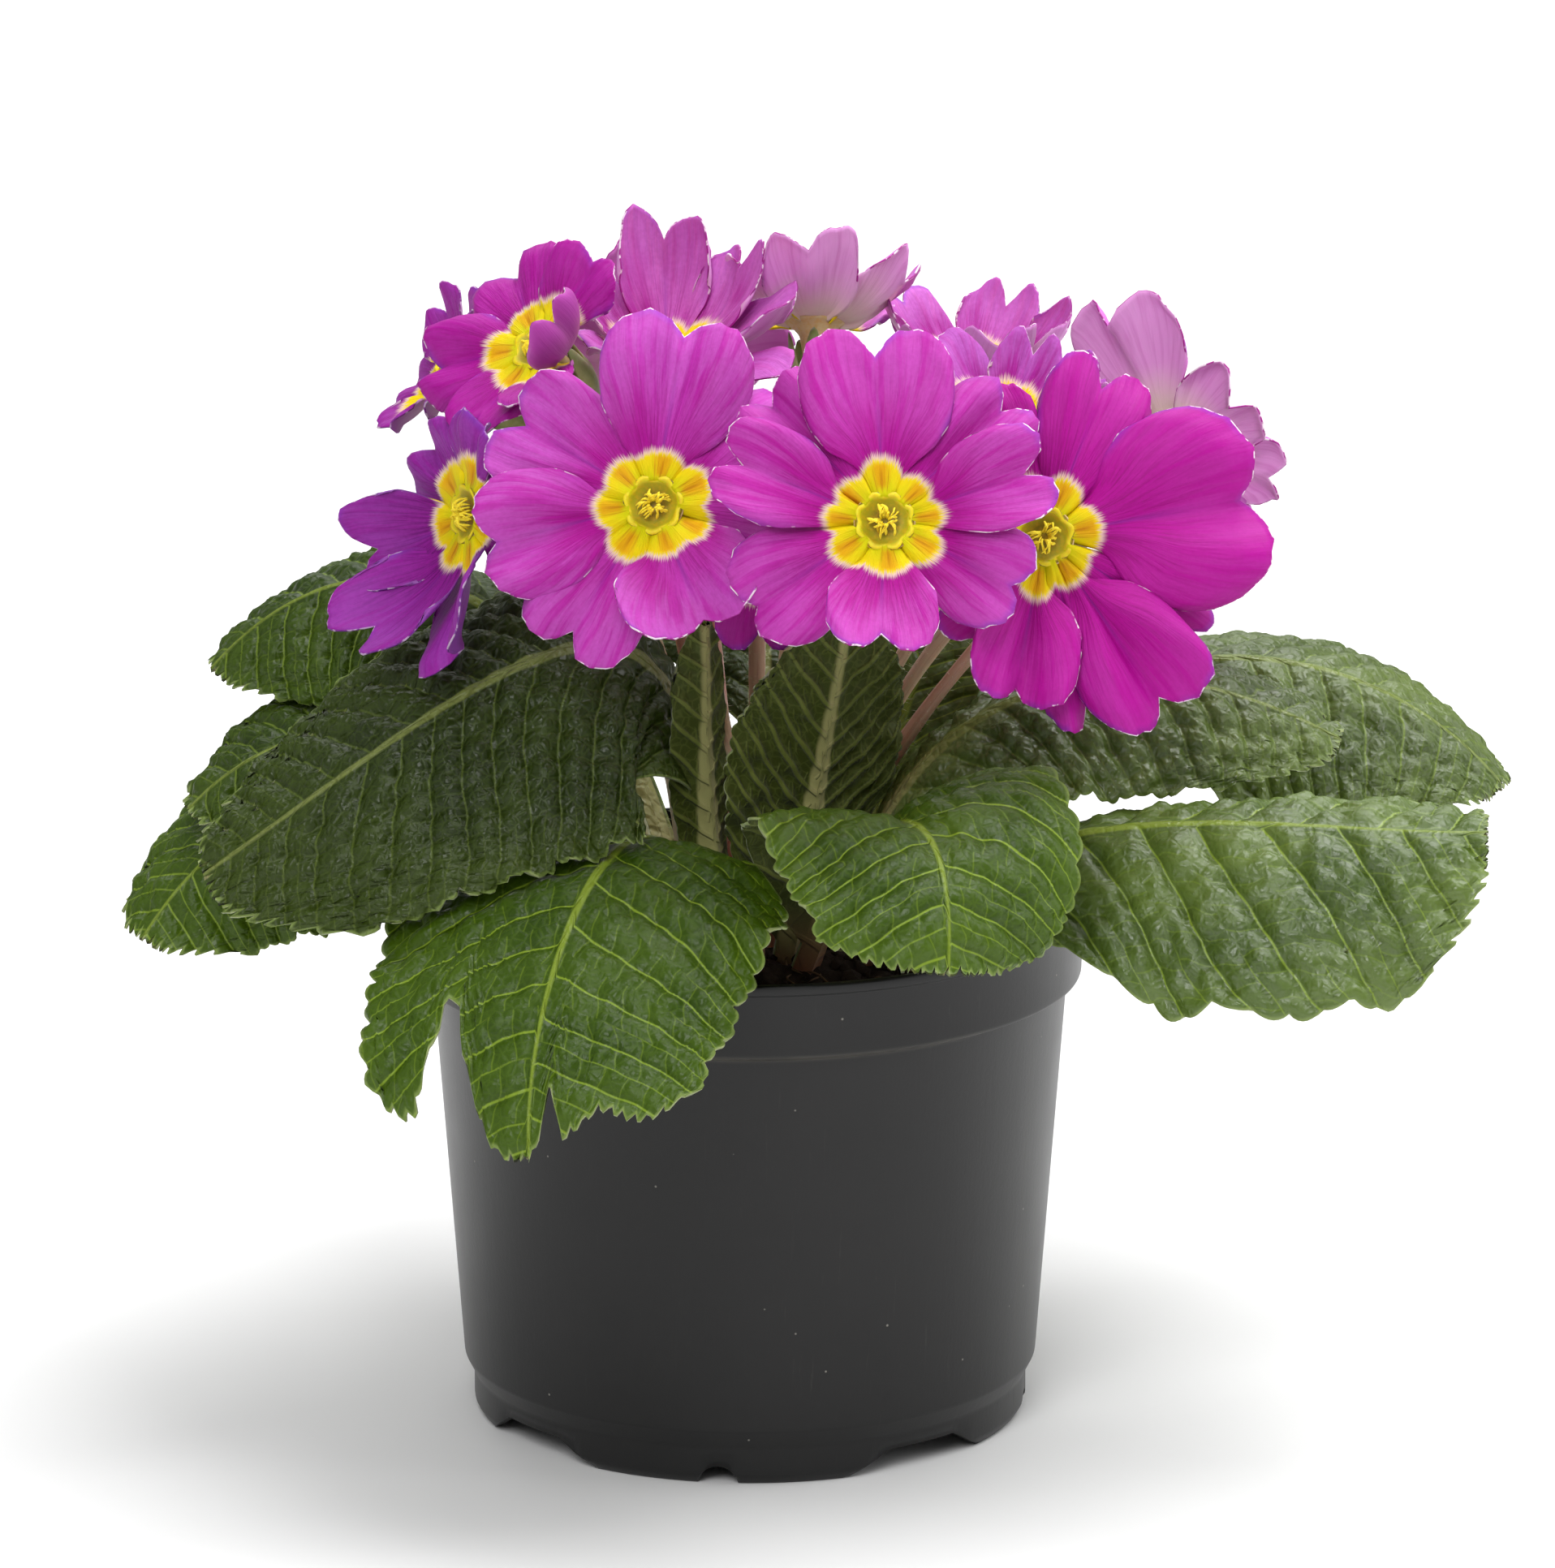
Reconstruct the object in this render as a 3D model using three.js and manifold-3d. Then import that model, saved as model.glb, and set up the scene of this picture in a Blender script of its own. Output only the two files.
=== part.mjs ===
// A primrose (Primula, acaulis group) in a round plastic nursery pot: pot, compost, rosette leaves,
// and blooms, each of a petal ring, a yellow eye with its tube, and a stalk that ends in the calyx.
// Millimetres, +Z up. The origin is the centre of the pot's foot circle, on the surface it stands on.
import * as THREE from "three";
import { mergeVertices } from "three/addons/utils/BufferGeometryUtils.js";
import Module from "manifold-3d";

const wasm = await Module();
wasm.setup();

// ---- Driving dimensions ----

const POT = {
  rimRadius: 52.5, height: 83, wall: 1.2, sides: 44,
  collarDrop: 11.8, lipDrop: 1.8, lipProud: 0.4,
  bodyTopRadius: 49.8, bodyFootRadius: 45.1, bodyFootHeight: 9,
  footRadius: 43.6, footHeight: 6.1, floorTop: 6.6, floorThick: 1.5,
  archHeight: 4, archAngle: 17, footSlope: 9.5, firstFoot: -6.5, feet: 4,
  notchRadius: 3, drainRadius: 3.6, drainCircle: 29,
  padRadius: 14, padSlope: 2, padWall: 0.6,
};
const SOIL = { top: 74, gap: 0.35, facet: 0.25, lump: 1.6, crownRise: 3, sides: 24, holeDepth: 7 };
const CLEARANCE = 0.35;

// A leaf's rib follows a cubic curve: root, shoulder and arch steer it, tip ends it. "width" holds the
// blade's greatest half-width on its left and right (seen from the root). "roll" turns the blade about
// its rib and "fold" lifts its two halves, both in degrees at the shoulder and at the tip. "curl"
// bends the margins and "wave" ripples them. The blade opens at "start" along the leaf and is widest at
// "broadest", and narrows by "taper" to its tip; "blunt" draws its shoulders back, and "cuts" are clefts
// in its end: [place, half-width, depth].
const LEAVES = [
  { name: "front_left_big", root: [-10.48, -7.95], shoulder: [2.29, -11.77, 164.76],
    arch: [-43.4, -36.92, 124.67], tip: [-84, -32, 95], width: [34, 25], roll: [-28.32, -27],
    fold: [-13.01, -7.3], curl: -14, wave: 0.03, start: 0.22, broadest: 0.5, blunt: 0.12, seed: 1 },
  { name: "front_left_low", root: [-3.42, -15.2], shoulder: [-11.66, -17.87, 129.75],
    arch: [-34.91, -70.54, 94.86], tip: [-33, -80, 64], width: [30, 33.25], roll: [1.81, -4.49],
    fold: [-9.43, -5.69], curl: -8, wave: 0.04, start: 0.18, broadest: 0.52, taper: 0.3, blunt: 0.12,
    seed: 2, cuts: [[-0.5, 0.2, 0.26], [0.13, 0.08, 0.16]] },
  { name: "front_middle", root: [6, -15.89], shoulder: [18.47, -19.9, 112], arch: [32.0, -66.06, 119.15],
    tip: [30, -73, 91], width: [24.16, 24.42], roll: [10.84, -2.15], fold: [31.19, -10.58], curl: -22,
    wave: 0.04, start: 0.11, broadest: 0.5, taper: 0.28, blunt: 0.06, seed: 3 },
  { name: "right_low", root: [14, -10], shoulder: [30, -17, 110], arch: [80, -38, 103], tip: [113, -40, 104],
    width: [14, 31], roll: [16, 34], fold: [-18, -14], curl: -24, wave: 0.05, start: 0.24, broadest: 0.7,
    blunt: 0.08, seed: 4 },
  { name: "right_high", root: [13, -6], shoulder: [18.06, -6.36, 126], arch: [62, -8.57, 128],
    tip: [92, -8, 110], width: [21, 20], roll: [15.4, 28], fold: [-16, -16], curl: -24, wave: 0.05,
    start: 0.17, broadest: 0.52, seed: 5 },
  { name: "right_far", root: [15, 6], shoulder: [34, 19, 124], arch: [92, 27, 127.5], tip: [119, 16, 96],
    width: [24, 25], roll: [10, 32], fold: [-18, -18], curl: -20, wave: 0.02, start: 0.22, broadest: 0.68,
    blunt: 0.1, seed: 6 },
  { name: "left_far", root: [-11, 6], shoulder: [-22, 15, 132], arch: [-60, 22, 143], tip: [-85, 21, 114],
    width: [22, 22], roll: [-12, -32], fold: [-18, -18], curl: -20, wave: 0.05, start: 0.24, broadest: 0.66,
    blunt: 0.1, seed: 7 },
  { name: "left_middle", root: [-16, -2], shoulder: [-35, 3, 106], arch: [-66, 5, 120], tip: [-88, 2, 96],
    width: [20, 19], roll: [-24, -30], fold: [-8, -10], curl: -20, wave: 0.1, start: 0.24, seed: 8 },
  { name: "left_low", root: [-17, 7], shoulder: [-42, 10, 96], arch: [-74, 6, 110], tip: [-95, -5, 77],
    width: [20, 20], roll: [-16, -44], fold: [-10, -14], curl: -26, wave: 0.05, start: 0.34, broadest: 0.7,
    blunt: 0.08, seed: 9 },
  { name: "upright_middle", root: [4, -11.5], shoulder: [9, -17, 96], arch: [11, -23, 112],
    tip: [15, -29, 134], width: [15, 15], roll: [0, -8], fold: [10, 10], curl: 0, wave: 0.05, start: 0.16,
    seed: 10 },
  { name: "upright_left", root: [-3.09, -11.93], shoulder: [-7.75, -14.03, 98.92],
    arch: [-6.53, -24.87, 110.86], tip: [-7, -25, 134], width: [5.5, 5.84], roll: [57.15, 55.3],
    fold: [12, 15.14], curl: 8, wave: 0.05, start: 0.19, seed: 11 },
  { name: "upright_right", root: [13.5, 1.5], shoulder: [20, 6, 99], arch: [25, 13, 115], tip: [33, 18, 127],
    width: [10, 10], roll: [50, 56], fold: [12, 12], curl: 8, wave: 0.06, start: 0.2, seed: 12 },
  { name: "back_left", root: [-9, 13], shoulder: [-20, 34, 118], arch: [-40, 66, 124], tip: [-52, 86, 90],
    width: [25, 25], roll: [6, 8], fold: [4, -8], curl: -24, wave: 0.06, start: 0.24, seed: 13 },
  { name: "back_middle", root: [2, 15.5], shoulder: [2, 36, 128], arch: [0, 74, 134], tip: [3, 96, 98],
    width: [24, 24], roll: [0, -6], fold: [2, -8], curl: -24, wave: 0.06, start: 0.24, seed: 14 },
  { name: "back_right", root: [11, 12], shoulder: [28, 36, 106], arch: [54, 66, 114], tip: [70, 82, 80],
    width: [25, 25], roll: [-6, -8], fold: [2, -8], curl: -24, wave: 0.06, start: 0.24, seed: 15 },
];

// A bloom faces along an azimuth (0 is -Y, 90 is +X) and an elevation. Each petal is
// [clock angle, length, half-spread, tilt], in degrees and millimetres, clockwise from the bloom's
// own upright as seen from in front of it. "lobes" are the clock angles of the eye's points where they
// aren't those of the petals, and "root" the stalk's place in the compost where it isn't below the bloom.
const ring = (count, first, length, spread, tilt, uneven = 1) =>
  Array.from({ length: count }, (_, k) => [
    first + (360 * k) / count + uneven * 6 * Math.sin(2.4 * k + first),
    length * (1 + 0.05 * Math.sin(1.7 * k + first)), spread, tilt + uneven * 9 * Math.sin(2.9 * k + first + 1),
  ]);
const BLOOMS = [
  { name: "front_left", root: [1.46, -14.7], eye: [-14.5, -38, 155], azimuth: -4, elevation: 24,
    lobes: [11, 64, 117, 160, 213, 265, 313], petals: [[8, 30, 37, 2], [64, 27, 38, -14], [155, 26, 38, 34],
    [212, 27, 34, -6], [256, 27.5, 34, 0], [302, 28.5, 34, -8]] },
  { name: "front_middle", eye: [20.5, -50, 155.4], azimuth: 3, elevation: 26,
    lobes: [-3, 48, 84, 121, 175, 238, 275, 308], petals: [[-2, 30.5, 37, 2], [46, 29, 26, -10],
    [72, 27, 28, 10], [117, 24, 32, -4], [184, 25, 36, 32], [238, 25.5, 34, 0], [292, 28, 27, 12],
    [320, 28.5, 24, -10]] },
  { name: "front_right", eye: [45, -34, 149.1], azimuth: 10, elevation: 20,
    lobes: [26, 82, 151, 192, 240, 300, 345], petals: [[26, 30, 27, -6], [82, 35, 43, 4], [124, 31, 18, -12],
    [147, 34, 27, 2], [167, 31, 20, -10], [194, 27, 30, 8], [240, 22, 32, -12], [292, 22, 34, -12],
    [340, 25, 26, -10]] },
  { name: "left_low", root: [-6.27, 10.54], eye: [-43.7, -18, 148.6], azimuth: -64, elevation: 8,
    petals: [[12, 17, 34, 10], [58, 18, 34, -8], [98, 20, 36, -16], [144, 28, 44, 26], [192, 29, 40, 48],
    [238, 24, 36, 44], [298, 18, 40, 8]] },
  { name: "left_high", eye: [-32.62, -5.85, 172.48], azimuth: -46, elevation: 42, petals: [[8, 17.5, 38, 8],
    [90, 22, 38, 68], [134, 18, 34, 30], [184, 19, 36, 16], [246, 21, 38, 6], [308, 22, 38, 0]] },
  { name: "top_left", root: [-0.6, 1.2], eye: [-13.02, 3.78, 169], azimuth: -6, elevation: 78,
    petals: [[-6, 27, 34, 60], [44, 24, 32, 54], [88, 25, 34, 40], [136, 26, 34, 16], [186, 20, 34, 24],
    [242, 16, 34, 34], [304, 18, 34, 46]] },
  { name: "top_middle", root: [2.8, 2.2], eye: [10.2, 17.73, 170.62], azimuth: 178, elevation: 62,
    petals: [[2, 23, 36, 38], [66, 19, 34, 38], [138, 18, 34, 30], [214, 18, 34, 34], [290, 20, 36, 42]] },
  { name: "right_high", eye: [39, -6, 161], azimuth: 24, elevation: 72, petals: [[-18, 21, 36, 30],
    [42, 18, 33, 40], [100, 20, 33, 50], [160, 20, 35, 56], [218, 20, 35, 52], [278, 20, 35, 36]] },
  { name: "right_top", eye: [34.77, 26.61, 161.5], azimuth: 40, elevation: 80, petals: [[-10, 20, 38, 40],
    [62, 19, 38, 48], [134, 21, 38, 58], [206, 21, 38, 58], [278, 20, 38, 48]] },
  { name: "right_far", eye: [66.5, 14, 152.5], azimuth: 144, elevation: 26, petals: [[15, 26, 35, 8],
    [76, 21, 35, 8], [136, 20, 35, 8], [196, 20, 35, 8], [252, 19, 35, 8], [306, 21, 35, 6]] },
  { name: "left_far", root: [-9.09, 2.51], eye: [-47.51, 19.21, 162.2], azimuth: -84, elevation: 34,
    petals: ring(5, 20, 15, 40, 20) },
  { name: "middle_low", root: [0.8, -2.6], eye: [1.5, -24, 145], azimuth: 0, elevation: 4,
    petals: ring(5, 36, 16, 38, 8) },
  { name: "back", eye: [-16, 42, 158], azimuth: 196, elevation: 26, petals: ring(5, 0, 24, 38, 8) },
];
const PETAL = {
  root: 4.4, thick: 0.65, rows: 3, columns: 4, even: 0.75,
  notch: 0.14, notchWidth: 0.24, shoulder: 0.33, lap: 0.9, ringIn: 2.7, ringHigh: 0.6, ringLow: 1,
};
const EYE = {
  lobe: 9.1, valley: 6.6, throat: 3.3, tube: 1.8, tubeFoot: 1.5, tubeLength: 12,
  thick: 0.5, gap: 0.6, underside: 1.2,
};
const STALK = {
  radius: 1.25, steps: 6, sides: 5, calyxRadius: 3.6, calyxTop: 3.4, calyxLength: 13, socketRadius: 2.8,
  spread: 0.18, upright: 0.5, neck: 11,
};
const LEAF = {
  rows: 11, columns: 4, thick: 0.7, rib: 2.4, petiole: 2.4, broadest: 0.58, taper: 0.55, blunt: 0.15,
  tooth: 0.045,
};

const COLOURS = {
  plastic: 0x2d2e2f, compost: 0x2a1d14, leaf: 0x3d6b1e, petal: 0xb51fa0, eye: 0xf0c400, stalk: 0xc9c39a,
};

// ---- Helpers ----

const UP = new THREE.Vector3(0, 0, 1);
const rad = THREE.MathUtils.degToRad;
const smooth = (x, from, to) => THREE.MathUtils.smoothstep(x, from, to);
const mix = THREE.MathUtils.lerp;
const noise = (seed, i) => {
  const x = Math.sin(seed * 127.1 + i * 311.7) * 43758.5453;
  return x - Math.floor(x);
};

// A closed BufferGeometry as a manifold-3d solid.
function solidOf(geometry) {
  const bare = geometry.clone();
  bare.deleteAttribute("normal");
  bare.deleteAttribute("uv");
  const merged = mergeVertices(bare, 1e-4);
  const solid = new wasm.Manifold(new wasm.Mesh({
    numProp: 3, vertProperties: new Float32Array(merged.attributes.position.array),
    triVerts: new Uint32Array(merged.index.array),
  }));
  if (solid.volume() < 0) throw new Error("a solid is inside out");
  return solid;
}

function meshOf(name, solid, colour, roughness) {
  const made = solid.getMesh();
  const geometry = new THREE.BufferGeometry();
  const points = new Float32Array(made.numVert * 3);
  for (let i = 0; i < made.numVert; i++)
    points.set(made.vertProperties.subarray(i * made.numProp, i * made.numProp + 3), i * 3);
  geometry.setAttribute("position", new THREE.BufferAttribute(points, 3));
  geometry.setIndex(new THREE.BufferAttribute(new Uint32Array(made.triVerts), 1));
  geometry.computeVertexNormals();
  const finish = new THREE.MeshStandardMaterial({ color: colour, roughness, metalness: 0 });
  const mesh = new THREE.Mesh(geometry, finish);
  mesh.name = name;
  return mesh;
}

function closed(points, faces) {
  const geometry = new THREE.BufferGeometry();
  geometry.setAttribute("position", new THREE.Float32BufferAttribute(points.flatMap((p) => p.toArray()), 3));
  geometry.setIndex(faces);
  return solidOf(geometry);
}

// Adds a thin sheet about a middle surface at(s, t), s from 0 to 1 and t from -1 to 1, split alike on
// both faces and open at its root. thick(s, t) is its thickness, measured square to the surface or, at
// the root, along rootNormal; "even" below 1 draws the columns towards the margins. Returns the number
// of its point on the upper (0) or lower (1) face at a row and column.
function sheet(points, faces, { rows, columns, at, thick, edge = at, even = 1, rootNormal = null }) {
  const first = points.length;
  const step = 0.01;
  for (const lower of [0, 1])
    for (let i = 0; i <= rows; i++)
      for (let j = 0; j <= columns; j++) {
        const s = i / rows;
        const place = (2 * j) / columns - 1;
        const t = Math.sign(place) * Math.abs(place) ** even;
        const along = at(Math.min(s + step, 1), t).sub(at(Math.max(s - step, 0), t));
        const across = at(s, Math.min(t + step, 1)).sub(at(s, Math.max(t - step, -1)));
        const normal = i === 0 && rootNormal ? rootNormal : along.cross(across).normalize();
        points.push(edge(s, t, i).addScaledVector(normal, (0.5 - lower) * thick(s, t)));
      }
  const index = (lower, i, j) => first + lower * (rows + 1) * (columns + 1) + i * (columns + 1) + j;
  const quad = (a, b, c, d) => faces.push(a, b, c, a, c, d);
  for (let i = 0; i < rows; i++) {
    for (let j = 0; j < columns; j++) {
      quad(index(0, i, j), index(0, i + 1, j), index(0, i + 1, j + 1), index(0, i, j + 1));
      const [a, b] = [index(1, i, j), index(1, i + 1, j)];
      const [c, d] = [index(1, i + 1, j + 1), index(1, i, j + 1)];
      faces.push(a, c, b, a, d, c);
    }
    quad(index(0, i, 0), index(1, i, 0), index(1, i + 1, 0), index(0, i + 1, 0));
    quad(index(0, i + 1, columns), index(1, i + 1, columns), index(1, i, columns), index(0, i, columns));
  }
  for (let j = 0; j < columns; j++)
    quad(index(0, rows, j), index(1, rows, j), index(1, rows, j + 1), index(0, rows, j + 1));
  return index;
}

function blade(shape) {
  const points = [];
  const faces = [];
  const index = sheet(points, faces, shape);
  for (let j = 0; j < shape.columns; j++) {
    const [a, b, c, d] = [index(0, 0, j + 1), index(1, 0, j + 1), index(1, 0, j), index(0, 0, j)];
    faces.push(a, b, c, a, c, d);
  }
  return closed(points, faces);
}

// A closed solid over rings of equal point counts, with a point at each end.
function rings(start, loops, end) {
  const count = loops[0].length;
  const points = [start, ...loops.flat(), end];
  const faces = [];
  const index = (r, k) => 1 + r * count + (k % count);
  for (let k = 0; k < count; k++) {
    faces.push(0, index(0, k + 1), index(0, k));
    for (let r = 0; r + 1 < loops.length; r++) {
      const [a, b, c, d] = [index(r, k), index(r, k + 1), index(r + 1, k + 1), index(r + 1, k)];
      faces.push(a, b, c, a, c, d);
    }
    faces.push(index(loops.length - 1, k), index(loops.length - 1, k + 1), points.length - 1);
  }
  return closed(points, faces);
}

// ---- Pot ----

function makePot() {
  const p = POT;
  const collarFoot = p.height - p.collarDrop;
  const floorUnder = p.floorTop - p.floorThick;
  const profile = [
    [0, 0], [p.padRadius, 0], [p.padRadius + p.padSlope, floorUnder],
    [p.footRadius - 2.2, floorUnder], [p.footRadius - 1.9, 0], [p.footRadius - 0.9, 0],
    [p.footRadius, 1.4], [p.footRadius, p.footHeight], [p.bodyFootRadius, p.bodyFootHeight],
    [p.bodyTopRadius, collarFoot - 0.6], [p.rimRadius - 0.5, collarFoot],
    [p.rimRadius - p.lipProud, p.height - p.lipDrop], [p.rimRadius, p.height - p.lipDrop + 0.3],
    [p.rimRadius, p.height - 0.4], [p.rimRadius - 0.4, p.height],
    [p.rimRadius - p.wall - 0.4, p.height], [p.rimRadius - p.wall - p.lipProud, collarFoot + 1.2],
    [p.bodyTopRadius - p.wall, collarFoot - 1.2], [p.bodyFootRadius - p.wall, p.floorTop + 1],
    [p.padRadius + p.padSlope - p.padWall, p.floorTop], [p.padRadius - p.padWall, p.floorThick], [0, p.floorThick],
  ].map(([r, z]) => new THREE.Vector2(r, z));
  let pot = solidOf(new THREE.LatheGeometry(profile, p.sides).rotateX(Math.PI / 2));
  const reach = p.footRadius + 4;
  const period = 360 / p.feet;
  for (let k = 0; k < p.feet; k++) {
    const foot = rad(p.firstFoot + k * period - 90);
    const gap = foot + rad(period / 2);
    const low = reach * Math.tan(rad(p.archAngle / 2 + p.footSlope));
    const high = reach * Math.tan(rad(p.archAngle / 2));
    const arch = new THREE.Shape([
      [-low, -1], [low, -1], [low, 0], [high, p.archHeight], [-high, p.archHeight], [-low, 0],
    ].map(([x, y]) => new THREE.Vector2(x, y)));
    const opening = new THREE.ExtrudeGeometry(arch, { depth: 14, bevelEnabled: false })
      .rotateX(Math.PI / 2).translate(0, reach, 0).rotateZ(gap - Math.PI / 2);
    pot = pot.subtract(solidOf(opening));
    const notch = new THREE.CylinderGeometry(p.notchRadius, p.notchRadius, 12, 10)
      .translate(0, reach - 2, 0).rotateZ(foot - Math.PI / 2);
    pot = pot.subtract(solidOf(notch));
    const drain = new THREE.CylinderGeometry(p.drainRadius, p.drainRadius, 8, 10)
      .rotateX(Math.PI / 2)
      .translate(p.drainCircle * Math.cos(gap), p.drainCircle * Math.sin(gap), floorUnder);
    pot = pot.subtract(solidOf(drain));
  }
  return meshOf("pot", pot, COLOURS.plastic, 0.45);
}

// ---- Compost, with a plain hole for every stem ----

const soilHeight = (r, angle) =>
  SOIL.top + SOIL.crownRise * (1 - smooth(r, 12, 34)) - 0.5
  + SOIL.lump * 0.5 * Math.sin(r * 0.31 + 2 * Math.sin(3 * angle)) * Math.sin(5 * angle + r * 0.17)
  * smooth(r, 2, 16) * (1 - smooth(r, 42, 48));

function makeSoil(stems) {
  const p = POT;
  const bottom = p.floorTop + 1 + SOIL.gap;
  const shoulder = p.height - p.collarDrop - 4;
  const share = (z) => (z - p.floorTop - 1) / (shoulder - p.floorTop + 2);
  const wallAt = (z) => mix(p.bodyFootRadius, p.bodyTopRadius, share(z)) - p.wall - SOIL.gap - SOIL.facet;
  const topRing = wallAt(shoulder);
  const around = (radius, z) => Array.from({ length: SOIL.sides }, (_, k) => {
    const angle = (2 * Math.PI * k) / SOIL.sides;
    return new THREE.Vector3(radius * Math.cos(angle), radius * Math.sin(angle), z ?? soilHeight(radius, angle));
  });
  const pad = p.padRadius - p.padWall - SOIL.gap;
  const loops = [around(pad, p.floorThick + SOIL.gap), around(pad + p.padSlope, bottom),
    around(wallAt(bottom), bottom), around(topRing, shoulder)];
  for (const radius of [topRing - 1.2, 38, 27, 15]) loops.push(around(radius, null));
  const foot = new THREE.Vector3(0, 0, p.floorThick + SOIL.gap);
  let soil = rings(foot, loops, new THREE.Vector3(0, 0, soilHeight(0, 0)));
  for (const stem of stems) {
    const hole = new THREE.CylinderGeometry(stem.radius, stem.radius, 24, stem.sides).rotateX(Math.PI / 2);
    const turn = new THREE.Quaternion().setFromUnitVectors(UP, stem.direction);
    hole.translate(0, 0, 12).applyQuaternion(turn).translate(stem.foot.x, stem.foot.y, stem.foot.z);
    soil = soil.subtract(solidOf(hole));
  }
  return meshOf("compost", soil, COLOURS.compost, 0.95);
}

// ---- Leaves ----

const curveOf = (points) => new THREE.CubicBezierCurve3(...points.map((p) => new THREE.Vector3(...p)));
const stemFoot = SOIL.top - SOIL.holeDepth;

function leafCurve(leaf) {
  return curveOf([[...leaf.root, stemFoot], leaf.shoulder, leaf.arch, leaf.tip]);
}

// Half-width along the leaf: a narrow winged stalk that opens into an egg-shaped blade.
function leafWidth(leaf, s, t) {
  const broadest = leaf.broadest ?? LEAF.broadest;
  const opened = THREE.MathUtils.clamp((s - leaf.start) / (broadest - leaf.start), 0, 1);
  const rise = Math.sin((Math.PI / 2) * opened);
  const fall = 1 - (leaf.taper ?? LEAF.taper) * Math.max(0, (s - broadest) / (1 - broadest)) ** 2.2;
  return LEAF.petiole + (leaf.width[t < 0 ? 1 : 0] - LEAF.petiole) * rise ** 0.85 * fall;
}

// How far along the rib a line of the blade reaches: short at the margins, and shorter in a cut.
function leafReach(leaf, t) {
  let reach = 1 - (leaf.blunt ?? LEAF.blunt) * Math.abs(t) ** 3;
  for (const [place, half, depth] of leaf.cuts ?? []) reach -= depth * Math.exp(-(((t - place) / half) ** 2));
  return reach;
}

function leafSurface(leaf) {
  const curve = leafCurve(leaf);
  const heading = new THREE.Vector3(leaf.tip[0] - leaf.root[0], leaf.tip[1] - leaf.root[1], 0).normalize();
  const level = new THREE.Vector3(-heading.y, heading.x, 0);
  return (row, t, scale = 1) => {
    const s = row * (1 - (1 - leafReach(leaf, t)) * smooth(row, 0.35, 1));
    const along = curve.getTangent(s);
    const side = level.clone().addScaledVector(along, -level.dot(along)).normalize();
    const face = along.clone().cross(side);
    const roll = rad(mix(...leaf.roll, s)) * smooth(s, 0.02, 0.3);
    const out = side.clone().multiplyScalar(Math.cos(roll)).addScaledVector(face, Math.sin(roll));
    const lift = face.clone().multiplyScalar(Math.cos(roll)).addScaledVector(side, -Math.sin(roll));
    const width = leafWidth(leaf, s, t) * scale * Math.abs(t);
    const open = smooth(s, 0.1, 0.4);
    const bend = rad(mix(...leaf.fold, smooth(s, 0.3, 1)) + 0.6 * leaf.curl * Math.abs(t)) * open;
    const phase = 19 * s + 2.6 * Math.sign(t) + 6.3 * noise(leaf.seed, 1);
    const ripple = leaf.wave * Math.sin(phase) * Math.abs(t) * open;
    return curve.getPoint(s).addScaledVector(out, Math.sign(t) * width * Math.cos(bend))
      .addScaledVector(lift, width * (Math.sin(bend) + ripple));
  };
}

function makeLeaf(leaf) {
  const at = leafSurface(leaf);
  const thick = (s, t) => LEAF.thick + (t === 0 ? 0.4 + LEAF.rib * (1 - smooth(s, 0.1, 0.45)) : 0);
  const edge = (s, t, row) => at(s, t, Math.abs(t) === 1 && s > 0.3 ? 1 + LEAF.tooth * (row % 2 ? 1 : -1) : 1);
  const columns = leaf.cuts ? 2 * LEAF.columns : LEAF.columns;
  return meshOf("leaf_" + leaf.name, blade({ rows: LEAF.rows, columns, at, thick, edge }), COLOURS.leaf, 0.5);
}

// ---- Blooms ----

// The bloom's own frame: up, right as seen from in front of it, and the way it faces.
function bloomFrame(bloom) {
  const [a, e] = [rad(bloom.azimuth), rad(bloom.elevation)];
  return {
    eye: new THREE.Vector3(...bloom.eye),
    up: new THREE.Vector3(-Math.sin(e) * Math.sin(a), Math.sin(e) * Math.cos(a), Math.cos(e)),
    right: new THREE.Vector3(Math.cos(a), Math.sin(a), 0),
    face: new THREE.Vector3(Math.sin(a) * Math.cos(e), -Math.cos(a) * Math.cos(e), Math.sin(e)),
  };
}

function inFrame(frame, angle, radius, height) {
  return frame.eye.clone().addScaledVector(frame.up, radius * Math.cos(angle))
    .addScaledVector(frame.right, radius * Math.sin(angle)).addScaledVector(frame.face, height);
}

// Half the free angle between a petal and its neighbour on the side t, and whether it lies above it:
// of two neighbours the one that leans further forward is the upper one.
function neighbour(bloom, k, t) {
  const count = bloom.petals.length;
  const step = t > 0 ? -1 : 1;
  const other = bloom.petals[(k + step + count) % count];
  const angle = THREE.MathUtils.euclideanModulo(step * (other[0] - bloom.petals[k][0]), 360) / 2;
  const lead = bloom.petals[k][3] - other[3];
  return { angle, above: Math.abs(lead) < 0.01 ? -step : Math.sign(lead) };
}

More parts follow.
